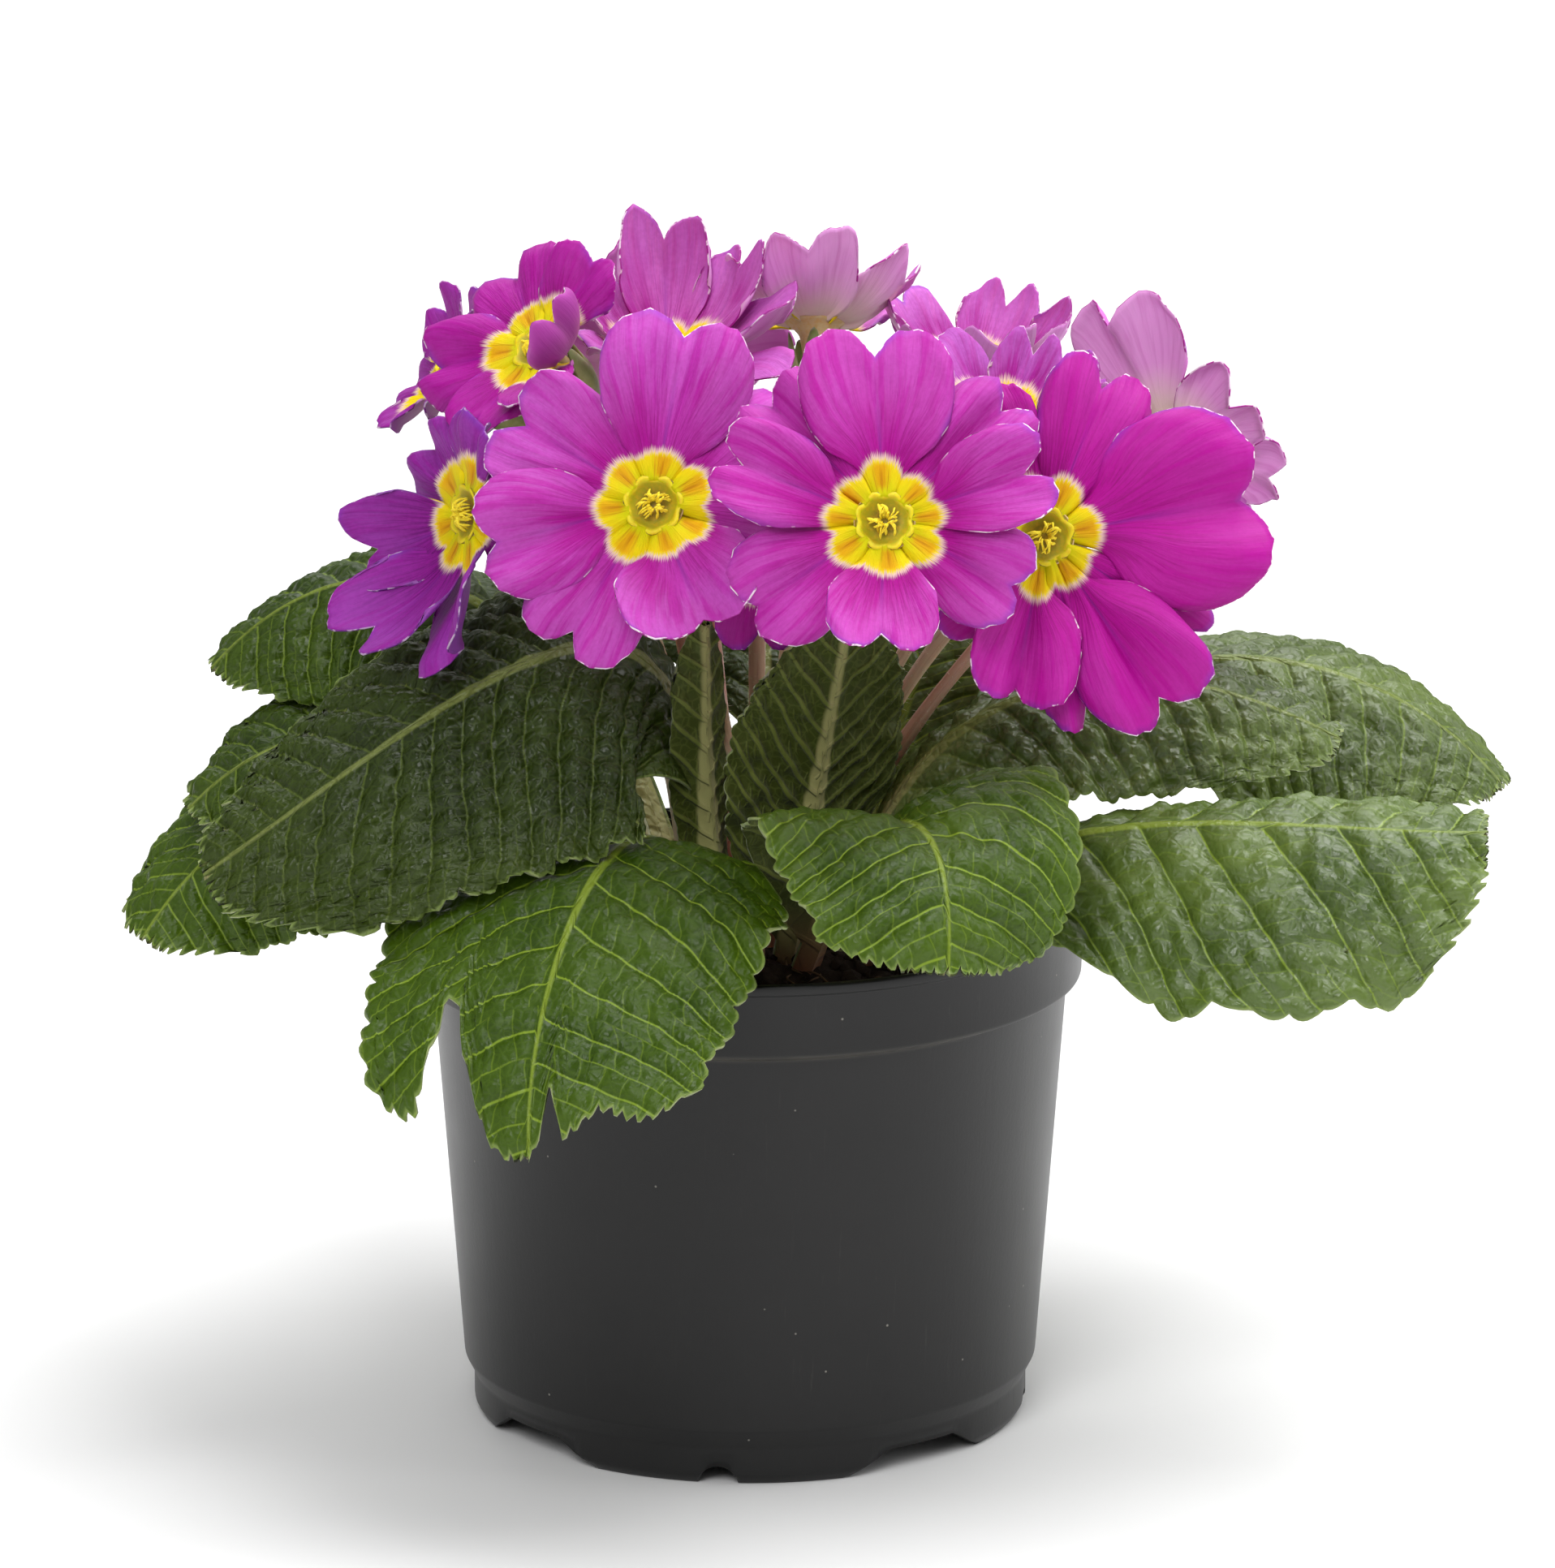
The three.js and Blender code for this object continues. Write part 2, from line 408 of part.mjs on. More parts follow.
// A petal is a fan about the eye: clock angle, radius and height at s along it and t across it.
// It leaves the eye nearly level and turns to its tilt.
function petalShape(bloom, k, s, t) {
  const [clock, length, spread, tilt] = bloom.petals[k];
  const start = rad(THREE.MathUtils.clamp(tilt * 0.25, -4, 8));
  const turn = rad(tilt) * 1.5 - start;
  const bend = Math.abs(turn) < 1e-3 ? 1e-3 : turn;
  const { angle, above } = neighbour(bloom, k, t);
  const notch = PETAL.notch * Math.exp(-((t / PETAL.notchWidth) ** 2));
  const tip = length * (1 - notch - PETAL.shoulder * Math.abs(t) ** 3.4);
  const run = tip - PETAL.root;
  const rise = (-run * (Math.cos(start + bend * s) - Math.cos(start))) / bend;
  const half = mix(Math.min(angle * 0.94, spread), spread, smooth(s, 0.12, 0.6));
  const lap = PETAL.lap * above * Math.abs(t) * smooth(s, -0.2, 0.2);
  const crease = -0.03 * length * s * Math.exp(-((t / 0.3) ** 2));
  const waver = 0.04 * length * Math.sin(2.6 * t + 2.1 * k) * s * s;
  return {
    clock: clock - half * t,
    radius: PETAL.root + (run * (Math.sin(start + bend * s) - Math.sin(start))) / bend,
    height: rise + lap + crease + waver,
  };
}

// The petals, rooted in the ring round the mouth of the tube.
function makePetals(bloom) {
  const frame = bloomFrame(bloom);
  const points = [];
  const faces = [];
  const { columns, rows } = PETAL;
  const roots = bloom.petals.map((petal, k) => {
    const at = (s, t) => {
      const { clock, radius, height } = petalShape(bloom, k, s, t);
      return inFrame(frame, rad(clock), radius, height);
    };
    const index = sheet(points, faces,
      { rows, columns, at, thick: () => PETAL.thick, even: PETAL.even, rootNormal: frame.face });
    return [0, 1].map((lower) => {
      const height = lower ? -PETAL.ringLow : PETAL.ringHigh;
      const inner = [-0.5, 0.5].map((t) => {
        const angle = rad(petalShape(bloom, k, 0, t).clock);
        return points.push(inFrame(frame, angle, PETAL.ringIn, height)) - 1;
      });
      return { inner, outer: Array.from({ length: columns + 1 }, (_, j) => index(lower, 0, j)) };
    });
  });
  const middle = columns / 2;
  roots.forEach((own, k) => {
    const next = roots[(k + 1) % roots.length];
    for (const lower of [0, 1]) {
      const { inner, outer } = own[lower];
      const add = (a, b, c) => (lower ? faces.push(a, c, b) : faces.push(a, b, c));
      for (let j = 0; j < columns; j++) add(inner[j < middle ? 0 : 1], outer[j], outer[j + 1]);
      add(inner[0], outer[middle], inner[1]);
      add(next[lower].inner[1], next[lower].outer[columns], outer[0]);
      add(next[lower].inner[1], outer[0], inner[0]);
    }
    const quad = (a, b, c, d) => faces.push(a, b, c, a, c, d);
    quad(own[0].inner[0], own[0].inner[1], own[1].inner[1], own[1].inner[0]);
    quad(next[0].inner[1], own[0].inner[0], own[1].inner[0], next[1].inner[1]);
    quad(next[0].outer[columns], next[1].outer[columns], own[1].outer[0], own[0].outer[0]);
  });
  return meshOf("petals_" + bloom.name, closed(points, faces), COLOURS.petal, 0.6);
}

// The height that keeps the eye clear of every petal below a point of it.
function overPetals(bloom, clock, radius) {
  let height = EYE.underside - PETAL.thick / 2 - EYE.gap;
  bloom.petals.forEach(([centre], k) => {
    const off = THREE.MathUtils.euclideanModulo(centre - clock + 180, 360) - 180;
    let [low, high, t] = [0, 1, off > 0 ? 1 : -1];
    for (let i = 0; i < 20; i++) {
      const s = (low + high) / 2;
      const half = Math.abs(petalShape(bloom, k, s, Math.sign(off) || 1).clock - centre);
      t = THREE.MathUtils.clamp(off / half, -1, 1);
      if (petalShape(bloom, k, s, t).radius < radius) low = s;
      else high = s;
    }
    if (Math.abs(off) < 1.2 * Math.abs(petalShape(bloom, k, low, t).clock - centre) + 3)
      height = Math.max(height, petalShape(bloom, k, low, t).height);
  });
  return height + PETAL.thick / 2 + EYE.gap;
}

// The yellow star with the throat and the tube that stands in the calyx.
function makeEye(bloom) {
  const frame = bloomFrame(bloom);
  const points = [];
  const lobes = bloom.lobes ?? bloom.petals.map(([clock]) => clock);
  lobes.forEach((clock, k) => {
    const next = k + 1 < lobes.length ? lobes[k + 1] : lobes[0] + 360;
    points.push([clock, EYE.lobe], [(clock + next) / 2, EYE.valley]);
  });
  points.reverse();
  const star = (lift) => points.map(([clock, radius]) => {
    const height = Math.max(...[-10, 0, 10].map((off) => overPetals(bloom, clock + off, radius)));
    return inFrame(frame, rad(clock), radius, lift + height);
  });
  const loop = (radius, height) => points.map(([clock]) => inFrame(frame, rad(clock), radius, height));
  return meshOf("eye_" + bloom.name, rings(inFrame(frame, 0, 0, -EYE.tubeLength), [
    loop(EYE.tubeFoot, -EYE.tubeLength), loop(EYE.tube, EYE.underside), star(0), star(EYE.thick),
    loop(EYE.throat, EYE.underside + 0.6),
  ], inFrame(frame, 0, 0, EYE.underside)), COLOURS.eye, 0.6);
}

function stalkCurve(bloom) {
  const frame = bloomFrame(bloom);
  const end = inFrame(frame, 0, 0, -STALK.calyxTop - STALK.calyxLength);
  const foot = new THREE.Vector3(...(bloom.root ?? [end.x * STALK.spread, end.y * STALK.spread]), stemFoot);
  return new THREE.CubicBezierCurve3(foot, foot.clone().addScaledVector(UP, (end.z - foot.z) * STALK.upright),
    end.clone().addScaledVector(frame.face, -STALK.neck), end);
}

// The stalk, with the five-angled calyx and its socket at its head.
function makeStalk(bloom) {
  const frame = bloomFrame(bloom);
  const curve = stalkCurve(bloom);
  const loop = (centre, along, radius) => {
    const v = along.clone().cross(frame.right).normalize();
    return Array.from({ length: STALK.sides }, (_, k) => {
      const angle = (2 * Math.PI * k) / STALK.sides;
      return centre.clone().addScaledVector(frame.right, radius * Math.cos(angle))
        .addScaledVector(v, radius * Math.sin(angle));
    });
  };
  const loops = [];
  for (let i = 0; i <= STALK.steps; i++)
    loops.push(loop(curve.getPoint(i / STALK.steps), curve.getTangent(i / STALK.steps), STALK.radius));
  const foot = -STALK.calyxTop - STALK.calyxLength;
  const socket = -EYE.tubeLength - CLEARANCE;
  for (const [radius, height] of [[STALK.calyxRadius, foot + 3], [STALK.calyxRadius + 0.3, -STALK.calyxTop],
    [STALK.socketRadius, -STALK.calyxTop], [STALK.socketRadius - 0.2, socket]])
    loops.push(loop(inFrame(frame, 0, 0, height), frame.face, radius));
  const solid = rings(curve.getPoint(0), loops, inFrame(frame, 0, 0, socket));
  return meshOf("stalk_" + bloom.name, solid, COLOURS.stalk, 0.5);
}

// ---- The whole plant ----

const stems = [
  ...LEAVES.map((leaf) => ({ curve: leafCurve(leaf), radius: 3.9, sides: 6 })),
  ...BLOOMS.map((bloom) => ({ curve: stalkCurve(bloom), radius: STALK.radius + 0.95, sides: 5 })),
].map(({ curve, radius, sides }) => {
  const foot = curve.getPoint(0);
  const direction = curve.getPoint(0.08).sub(foot).normalize();
  return { foot: foot.addScaledVector(direction, -CLEARANCE), direction, radius, sides };
});

const plant = new THREE.Group();
plant.add(makePot(), makeSoil(stems));
for (const leaf of LEAVES) plant.add(makeLeaf(leaf));
for (const bloom of BLOOMS) plant.add(makePetals(bloom), makeEye(bloom), makeStalk(bloom));

export default plant;
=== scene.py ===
"""Blender looks of a potted primrose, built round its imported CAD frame.

The blooms, leaves, stalks, compost and pot of the frame are each replaced by a finer mesh of the same
form. Sizes are in millimetres, and become metres as each mesh is finished. The shapes follow the same
dimensions as the frame: a leaf is a blade about a cubic curve, and a petal a fan about its bloom's eye.
"""

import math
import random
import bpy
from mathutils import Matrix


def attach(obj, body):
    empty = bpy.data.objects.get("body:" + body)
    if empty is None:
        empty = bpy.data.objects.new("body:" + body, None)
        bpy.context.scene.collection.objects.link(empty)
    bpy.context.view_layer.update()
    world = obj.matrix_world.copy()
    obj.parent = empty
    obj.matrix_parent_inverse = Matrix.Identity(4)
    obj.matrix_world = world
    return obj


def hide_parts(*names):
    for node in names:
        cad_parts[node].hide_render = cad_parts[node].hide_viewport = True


bl_info = {
    "name": "Potted Primrose",
    "version": (1, 0, 0),
    "blender": (4, 5, 0),
    "location": "3D View > Sidebar > Primrose",
    "description": "Builds a primrose in bloom in its nursery pot around its CAD frame",
    "category": "Add Mesh",
}

from types import SimpleNamespace

import bmesh
import bpy
import numpy as np
from mathutils import Matrix, Vector

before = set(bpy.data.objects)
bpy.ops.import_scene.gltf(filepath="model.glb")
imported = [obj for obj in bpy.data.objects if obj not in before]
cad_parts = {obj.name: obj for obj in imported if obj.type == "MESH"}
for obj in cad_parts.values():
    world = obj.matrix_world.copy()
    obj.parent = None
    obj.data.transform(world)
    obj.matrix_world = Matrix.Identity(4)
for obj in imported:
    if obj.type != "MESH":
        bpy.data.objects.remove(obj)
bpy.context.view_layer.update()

MM = 0.001

# ---- Driving dimensions, in millimetres and degrees ----

POT = dict(
    rim_radius=52.5, height=83.0, wall=1.2, collar_drop=11.8, lip_drop=1.8, lip_proud=0.4,
    body_top_radius=49.8, body_foot_radius=45.1, body_foot_height=9.0, foot_radius=43.6, foot_height=6.1,
    floor_top=6.6, floor_thick=1.5, arch_height=4.0, arch_angle=17.0, foot_slope=9.5, first_foot=-6.5,
    feet=4, gather=0.14, notch_radius=3.0, drain_radius=3.6, drain_circle=29.0, pad_radius=14.0,
    pad_slope=2.0, pad_wall=0.6, corner=0.45,
)
FIRST_FOOT = math.radians(POT["first_foot"] - 90)
SOIL = dict(top=74.0, gap=0.35, facet=0.25, lump=1.6, crown_rise=3.0, hole_depth=7.0)
STEM_FOOT = SOIL["top"] - SOIL["hole_depth"]

# A leaf's rib follows a cubic curve: root, shoulder and arch steer it, tip ends it. "width" holds the
# blade's greatest half-width on its left and right (seen from the root). "roll" turns the blade about
# its rib and "fold" lifts its two halves, at the shoulder and at the tip. "curl" bends the margins and
# "wave" ripples them. The blade opens at "start" along the leaf, is widest at "broadest" and narrows by
# "taper" to its tip; "blunt" draws its shoulders back, and "cuts" are clefts in its end: (place,
# half-width, depth). "young" runs from 0, dark and crinkled, to 1, bright and smooth.
# "lateral", "slope" and "sweep" are the spacing and the lean of its side veins; "light" is painted light,
# a greyish sheen that pales it; "rough" and "frill" are the depth of its crinkles and of its margin's.
# LEAF has what isn't said here.
LEAVES = (
    dict(name="front_left_big", root=(-10.48, -7.95), shoulder=(2.29, -11.77, 164.76),
         arch=(-43.4, -36.92, 124.67), tip=(-84, -32, 95), width=(34, 25), roll=(-28.32, -27),
         fold=(-13.01, -7.3), curl=-14, wave=0.03, start=0.14, broadest=0.5, blunt=0.12, seed=1,
         young=0.1, lateral=6.4, slope=0.55, sweep=0.004),
    dict(name="front_left_low", root=(-3.42, -15.2), shoulder=(-11.66, -17.87, 129.75),
         arch=(-34.91, -70.54, 94.86), tip=(-33, -80, 64), width=(30, 33.25), roll=(1.81, -4.49),
         fold=(-9.43, -5.69), curl=-8, wave=0.04, start=0.18, broadest=0.52, taper=0.3, blunt=0.12,
         seed=2, young=0.85, lateral=8.4, slope=0.3, sweep=0.01,
         cuts=((-0.5, 0.2, 0.23), (0.13, 0.07, 0.1), (0.45, 0.3, 0.07))),
    dict(name="front_middle", root=(6, -15.89), shoulder=(18.47, -19.9, 112),
         arch=(32.0, -66.06, 119.15), tip=(30, -73, 91), width=(24.16, 24.42), roll=(10.84, -2.15),
         fold=(31.19, -10.58), curl=-22, wave=0.04, start=0.11, broadest=0.5, taper=0.28,
         blunt=0.06, seed=3, young=0.85, light=0.15, lateral=7.6, slope=0.35, sweep=0.01),
    dict(name="right_low", root=(14, -10), shoulder=(30, -17, 110), arch=(80, -38, 103),
         tip=(113, -40, 104), width=(14, 31), roll=(16, 34), fold=(-18, -14), curl=-24, wave=0.05,
         start=0.24, broadest=0.7, blunt=0.08, seed=4, young=0.85, light=0.8, rough=1.8, frill=0.06,
         lateral=10.5, slope=0.55, sweep=0.006),
    dict(name="right_high", root=(13, -6), shoulder=(18.06, -6.36, 126), arch=(62, -8.57, 128),
         tip=(92, -8, 110), width=(21, 20), roll=(15.4, 28), fold=(-16, -16), curl=-24, wave=0.05,
         start=0.17, broadest=0.52, seed=5, young=0.35, light=0.85, lateral=6.2),
    dict(name="right_far", root=(15, 6), shoulder=(34, 19, 124), arch=(92, 27, 127.5),
         tip=(119, 16, 96), width=(24, 25), roll=(10, 32), fold=(-18, -18), curl=-20, wave=0.02,
         start=0.22, broadest=0.68, blunt=0.1, seed=6, young=0.5, light=1.0, lateral=6.6),
    dict(name="left_far", root=(-11, 6), shoulder=(-22, 15, 132), arch=(-60, 22, 143),
         tip=(-85, 21, 114), width=(22, 22), roll=(-12, -32), fold=(-18, -18), curl=-20, wave=0.05,
         start=0.24, broadest=0.66, blunt=0.1, seed=7, young=0.5),
    dict(name="left_middle", root=(-16, -2), shoulder=(-35, 3, 106), arch=(-66, 5, 120),
         tip=(-88, 2, 96), width=(20, 19), roll=(-24, -30), fold=(-8, -10), curl=-20, wave=0.1,
         start=0.24, seed=8, young=0.4),
    dict(name="left_low", root=(-17, 7), shoulder=(-42, 10, 96), arch=(-74, 6, 110),
         tip=(-95, -5, 77), width=(20, 20), roll=(-16, -44), fold=(-10, -14), curl=-26, wave=0.05,
         start=0.34, broadest=0.7, blunt=0.08, seed=9, young=0.7),
    dict(name="upright_middle", root=(4, -11.5), shoulder=(9, -17, 96), arch=(11, -23, 112),
         tip=(15, -29, 134), width=(15, 15), roll=(0, -8), fold=(10, 10), curl=0, wave=0.05,
         start=0.16, seed=10, young=0.9, light=0.9, lateral=4.6, slope=0.85, sweep=0.02),
    dict(name="upright_left", root=(-3.09, -11.93), shoulder=(-7.75, -14.03, 98.92),
         arch=(-6.53, -24.87, 110.86), tip=(-7, -25, 134), width=(5.5, 5.84), roll=(57.15, 55.3),
         fold=(12, 15.14), curl=8, wave=0.05, start=0.19, seed=11, young=0.9, light=0.9, lateral=4.6,
         slope=0.85),
    dict(name="upright_right", root=(13.5, 1.5), shoulder=(20, 6, 99), arch=(25, 13, 115),
         tip=(33, 18, 127), width=(10, 10), roll=(50, 56), fold=(12, 12), curl=8, wave=0.06,
         start=0.2, seed=12, young=0.9, light=0.9, lateral=4.6, slope=0.85),
    dict(name="back_left", root=(-9, 13), shoulder=(-20, 34, 118), arch=(-40, 66, 124),
         tip=(-52, 86, 90), width=(25, 25), roll=(6, 8), fold=(4, -8), curl=-24, wave=0.06,
         start=0.24, seed=13, young=0.4),
    dict(name="back_middle", root=(2, 15.5), shoulder=(2, 36, 128), arch=(0, 74, 134),
         tip=(3, 96, 98), width=(24, 24), roll=(0, -6), fold=(2, -8), curl=-24, wave=0.06,
         start=0.24, seed=14, young=0.1),
    dict(name="back_right", root=(11, 12), shoulder=(28, 36, 106), arch=(54, 66, 114),
         tip=(70, 82, 80), width=(25, 25), roll=(-6, -8), fold=(2, -8), curl=-24, wave=0.06,
         start=0.24, seed=15, young=0.7),
)


def ring(count, first, length, spread, tilt):
    """Petals spaced evenly round a bloom, with a little unevenness in place, length and tilt."""
    return tuple(
        (first + 360 * k / count + 6 * math.sin(2.4 * k + first),
         length * (1 + 0.05 * math.sin(1.7 * k + first)), spread,
         tilt + 9 * math.sin(2.9 * k + first + 1))
        for k in range(count)
    )


# A bloom faces along an azimuth (0 is -Y, 90 is +X) and an elevation. Each petal is (clock angle,
# length, half-spread, tilt), clockwise from the bloom's own upright as seen from in front of it.
# "lobes" are the clock angles of the eye's points where they aren't those of the petals, "root" is the
# stalk's place in the compost where it isn't below the bloom. "violet" and "pale" shift its colour.
BLOOMS = (
    dict(name="front_left", root=(1.46, -14.7), eye=(-14.5, -38, 155), azimuth=-4, elevation=24,
         violet=0.15, pale=0.65, lobes=(11, 64, 117, 160, 213, 265, 313), petals=((8, 30, 37, 2),
         (64, 27, 44, -14), (155, 26, 47, 34), (212, 27, 34, -6), (256, 27.5, 34, 0),
         (302, 28.5, 34, -8))),
    dict(name="front_middle", eye=(20.5, -50, 155.4), azimuth=3, elevation=26, violet=0.05,
         pale=0.4, lobes=(-3, 48, 84, 121, 175, 238, 275, 308), petals=((-2, 30.5, 37, 2),
         (46, 29, 26, -10), (72, 27, 28, 10), (117, 24, 32, -4), (184, 25, 36, 32),
         (238, 25.5, 34, 0), (292, 28, 27, 12), (320, 28.5, 30, -10))),
    dict(name="front_right", eye=(45, -34, 149.1), azimuth=10, elevation=20, violet=0.0, pale=0.0,
         lobes=(26, 82, 151, 192, 240, 300, 345), petals=((26, 30, 27, -6), (82, 35, 43, 4),
         (124, 31, 18, -12), (147, 34, 27, 2), (167, 31, 20, -10), (194, 27, 30, 8),
         (240, 22, 32, -12), (292, 22, 34, -12), (340, 25, 26, -10))),
    dict(name="left_low", root=(-6.27, 10.54), eye=(-43.7, -18, 148.6), azimuth=-64, elevation=8,
         violet=1.0, pale=0.2, petals=((12, 17, 34, 10), (58, 18, 34, -8), (98, 20, 36, -16),
         (144, 28, 44, 26), (192, 29, 40, 48), (238, 24, 36, 44), (298, 18, 40, 8))),
    # A pale of 0 also gives this bloom deep magenta petal backs: painted shade for backs that lie in
    # shadow.
    dict(name="left_high", eye=(-32.62, -5.85, 172.48), azimuth=-46, elevation=42, violet=0.3,
         pale=0.0, petals=((8, 17.5, 38, 8), (90, 22, 38, 68), (134, 18, 34, 30), (184, 19, 36, 16),
         (246, 21, 38, 6), (308, 22, 38, 0))),
    dict(name="top_left", root=(-0.6, 1.2), eye=(-13.02, 3.78, 169), azimuth=-6, elevation=78,
         violet=0.2, pale=0.9, petals=((-6, 27, 34, 60), (44, 24, 32, 54), (88, 25, 34, 40),
         (136, 26, 34, 16), (186, 20, 34, 24), (242, 16, 34, 34), (304, 18, 34, 46))),
    dict(name="top_middle", root=(2.8, 2.2), eye=(10.2, 17.73, 170.62), azimuth=178, elevation=62,
         violet=0.1, pale=1.0, petals=((2, 23, 36, 38), (66, 19, 34, 38), (138, 18, 34, 30),
         (214, 18, 34, 34), (290, 20, 36, 42))),
    dict(name="right_high", eye=(39, -6, 161), azimuth=24, elevation=72, violet=0.45, pale=0.85,
         petals=((-18, 21, 36, 30), (42, 18, 33, 40), (100, 20, 33, 50), (160, 20, 35, 56),
         (218, 20, 35, 52), (278, 20, 35, 36))),
    dict(name="right_top", eye=(34.77, 26.61, 161.5), azimuth=40, elevation=80, violet=0.3,
         pale=0.9, petals=((-10, 20, 38, 40), (62, 19, 38, 48), (134, 21, 38, 58),
         (206, 21, 38, 58), (278, 20, 38, 48))),
    dict(name="right_far", eye=(66.5, 14, 152.5), azimuth=144, elevation=26, violet=0.1, pale=1.0,
         petals=((15, 26, 35, 8), (76, 21, 35, 8), (136, 20, 35, 8), (196, 20, 35, 8),
         (252, 19, 35, 8), (306, 21, 35, 6))),
    dict(name="left_far", root=(-9.09, 2.51), eye=(-47.51, 19.21, 162.2), azimuth=-84, elevation=34,
         violet=0.8, pale=0.2, petals=ring(5, 20, 15, 40, 20)),
    dict(name="middle_low", root=(0.8, -2.6), eye=(1.5, -24, 145), azimuth=0, elevation=4,
         violet=0.2, pale=0.0, petals=ring(5, 36, 16, 38, 8)),
    dict(name="back", eye=(-16, 42, 158), azimuth=196, elevation=26, violet=0.2, pale=0.4,
         petals=ring(5, 0, 24, 38, 8)),
)

# What a leaf has where its own entry doesn't say otherwise.
LEAF = dict(broadest=0.58, taper=0.55, blunt=0.15, cuts=(), lateral=6.6, slope=0.5, sweep=0.008, light=0,
            frill=0.035)
BLADE = dict(petiole=2.4, thickness=2.6, cross=3.9, tooth_end=0.02, tooth_side=0.04, tooth_pitch=6.4)

# How high a blade bulges between its veins, in millimetres. Pairs are for an old and a young leaf.
CRINKLE = dict(side=0.75, fork=0.3, cross=(0.38, 0.12), cell=(0.6, 0.35), lump=(0.3, 0.4), middle=0.45,
               channel=0.35, rib=0.25, above=0.2)

# A petal's folds are shares of its length. "crease" runs down its middle, "waver" tips it, "pleat" and
# "ripple" wave it, "puff" arches its halves, "ruffle" and "hem" lift its end and "droop" its margin.
PETAL = dict(
    root=4.4, inner=3.7, thickness=0.28, above=0.14, lap=0.9, sink=0.35, notch=0.15, notch_width=0.16,
    shoulder=0.33, crease=0.055, waver=0.05, pleat=0.018, ripple=0.018, puff=0.065, ruffle=0.032, hem=0.14,
    droop=0.035,
)
EYE = dict(lobe=9.2, valley=7.6, uneven=0.7, tube_length=12.0, fold_at=5.4, fold_width=1.3)

# The throat from the foot of its tube, over the folded ring and into the mouth: (radius, height).
THROAT = (
    (1.0, -EYE["tube_length"]), (1.7, 0.5 - EYE["tube_length"]), (1.9, -5), (2.4, -2.2), (3.6, -0.9),
    (4.4, -0.5), (4.8, -0.1), (4.3, 0.16), (3.8, 0.08), (3.2, -0.4), (1.6, -0.9), (0.01, -1.0),
)
RING = dict(radius=4.2, width=0.7, lift=0.1, fold=0.24, pinch=0.09)
ANTHER = dict(count=24, radius=0.26, foot=0.45, reach=2.1, sunk=0.9)

STALK = dict(radius=1.25, calyx_top=3.4, calyx_length=13.0, spread=0.18, upright=0.5, neck=11.0)
CALYX = dict(ribs=5, rib=0.1, tip=-1.9, cleft=-8.5, foot_radius=1.3, bell=2.45, flare=0.35, wall=0.4)
HAIR = dict(count=240, shortest=0.7, longest=1.3, radius=0.045)

CRUMB = dict(sizes=(0.5, 0.7, 0.9, 1.3), spread=45.5, uneven=0.2)
FIBRE = dict(count=150, spread=44, reach=45, shortest=3, longest=9, bow=2, radius=0.22)

CAMERA = dict(distance=1800.0, elevation=15.25, aim=(4.35, 0.0, 100.7), focal=14199.0)
IMAGE = (1916, 1932)
SENSOR = 36.0

# Lights, in metres: name, place, what it shines at, its size and its share of the key light's power.
PLANT = (0, 0, 0.11)
LIGHTS = (
    ("overhead", (0.3, 0.15, 1.35), PLANT, 1.0, 1.0),
    ("front", (-0.35, -1.6, 1.35), PLANT, 0.9, 1.15),
    ("right_fill", (1.5, 0.1, 0.8), PLANT, 1.2, 0.55),
    ("left_fill", (-1.5, -0.3, 0.7), PLANT, 1.0, 0.05),
    ("backdrop", (0.0, 1.6, 1.3), (0, 1.6, 0), 1.6, 0.9),
)
FLOOR_HALF = 6.0


# ---- Arithmetic on arrays ----


def smooth(x, low, high):
    """0 at low and 1 at high, with a smooth rise between."""
    share = np.clip((np.asarray(x, float) - low) / (high - low), 0, 1)
    return share * share * (3 - 2 * share)


def near(distance, width):
    """1 at no distance, and falling off over a width."""
    return np.exp(-((distance / width) ** 2))


def whole(x):
    """The nearest whole number."""
    return np.floor(x + 0.5)


def mix(a, b, share):
    """From a to b by a share."""
    return a + (b - a) * share


def unit(v):
    """The directions of vectors."""
    return v / np.linalg.norm(v, axis=-1, keepdims=True)


def lengths_along(points):
    """How far each point of a line is from its first, along the line."""
    return np.concatenate(([0], np.cumsum(np.linalg.norm(np.diff(points, axis=0), axis=1))))


def bezier(p, s):
    """Points of a cubic curve of four points."""
    s = np.asarray(s, float)[..., None]
    return (1 - s) ** 3 * p[0] + 3 * (1 - s) ** 2 * s * p[1] + 3 * (1 - s) * s * s * p[2] + s**3 * p[3]


def tangent(p, s):
    """Directions of a cubic curve of four points."""
    s = np.asarray(s, float)[..., None]
    return unit((1 - s) ** 2 * (p[1] - p[0]) + 2 * (1 - s) * s * (p[2] - p[1]) + s * s * (p[3] - p[2]))


def scatter(i, j, seed):
    """A number from 0 to 1 for each whole (i, j)."""
    x = np.sin(i * 127.1 + j * 311.7 + seed * 74.7) * 43758.5453
    return x - np.floor(x)


def lumps(x, y, seed=0):
    """Smooth noise from -1 to 1 with features one unit wide."""
    i, j = np.floor(x), np.floor(y)
    u, v = smooth(x - i, 0, 1), smooth(y - j, 0, 1)
    low = mix(scatter(i, j, seed), scatter(i + 1, j, seed), u)
    high = mix(scatter(i, j + 1, seed), scatter(i + 1, j + 1, seed), u)
    return 2 * mix(low, high, v) - 1


# ---- Meshes ----


def new_mesh(*layers):
    """An empty mesh with its named layers, which have to be there before its first vertex."""
    bm = bmesh.new()
    for name in layers:
        if name == "thickness":
            bm.verts.layers.deform.verify()
        else:
            bm.verts.layers.float_vector.new(name)
    return bm


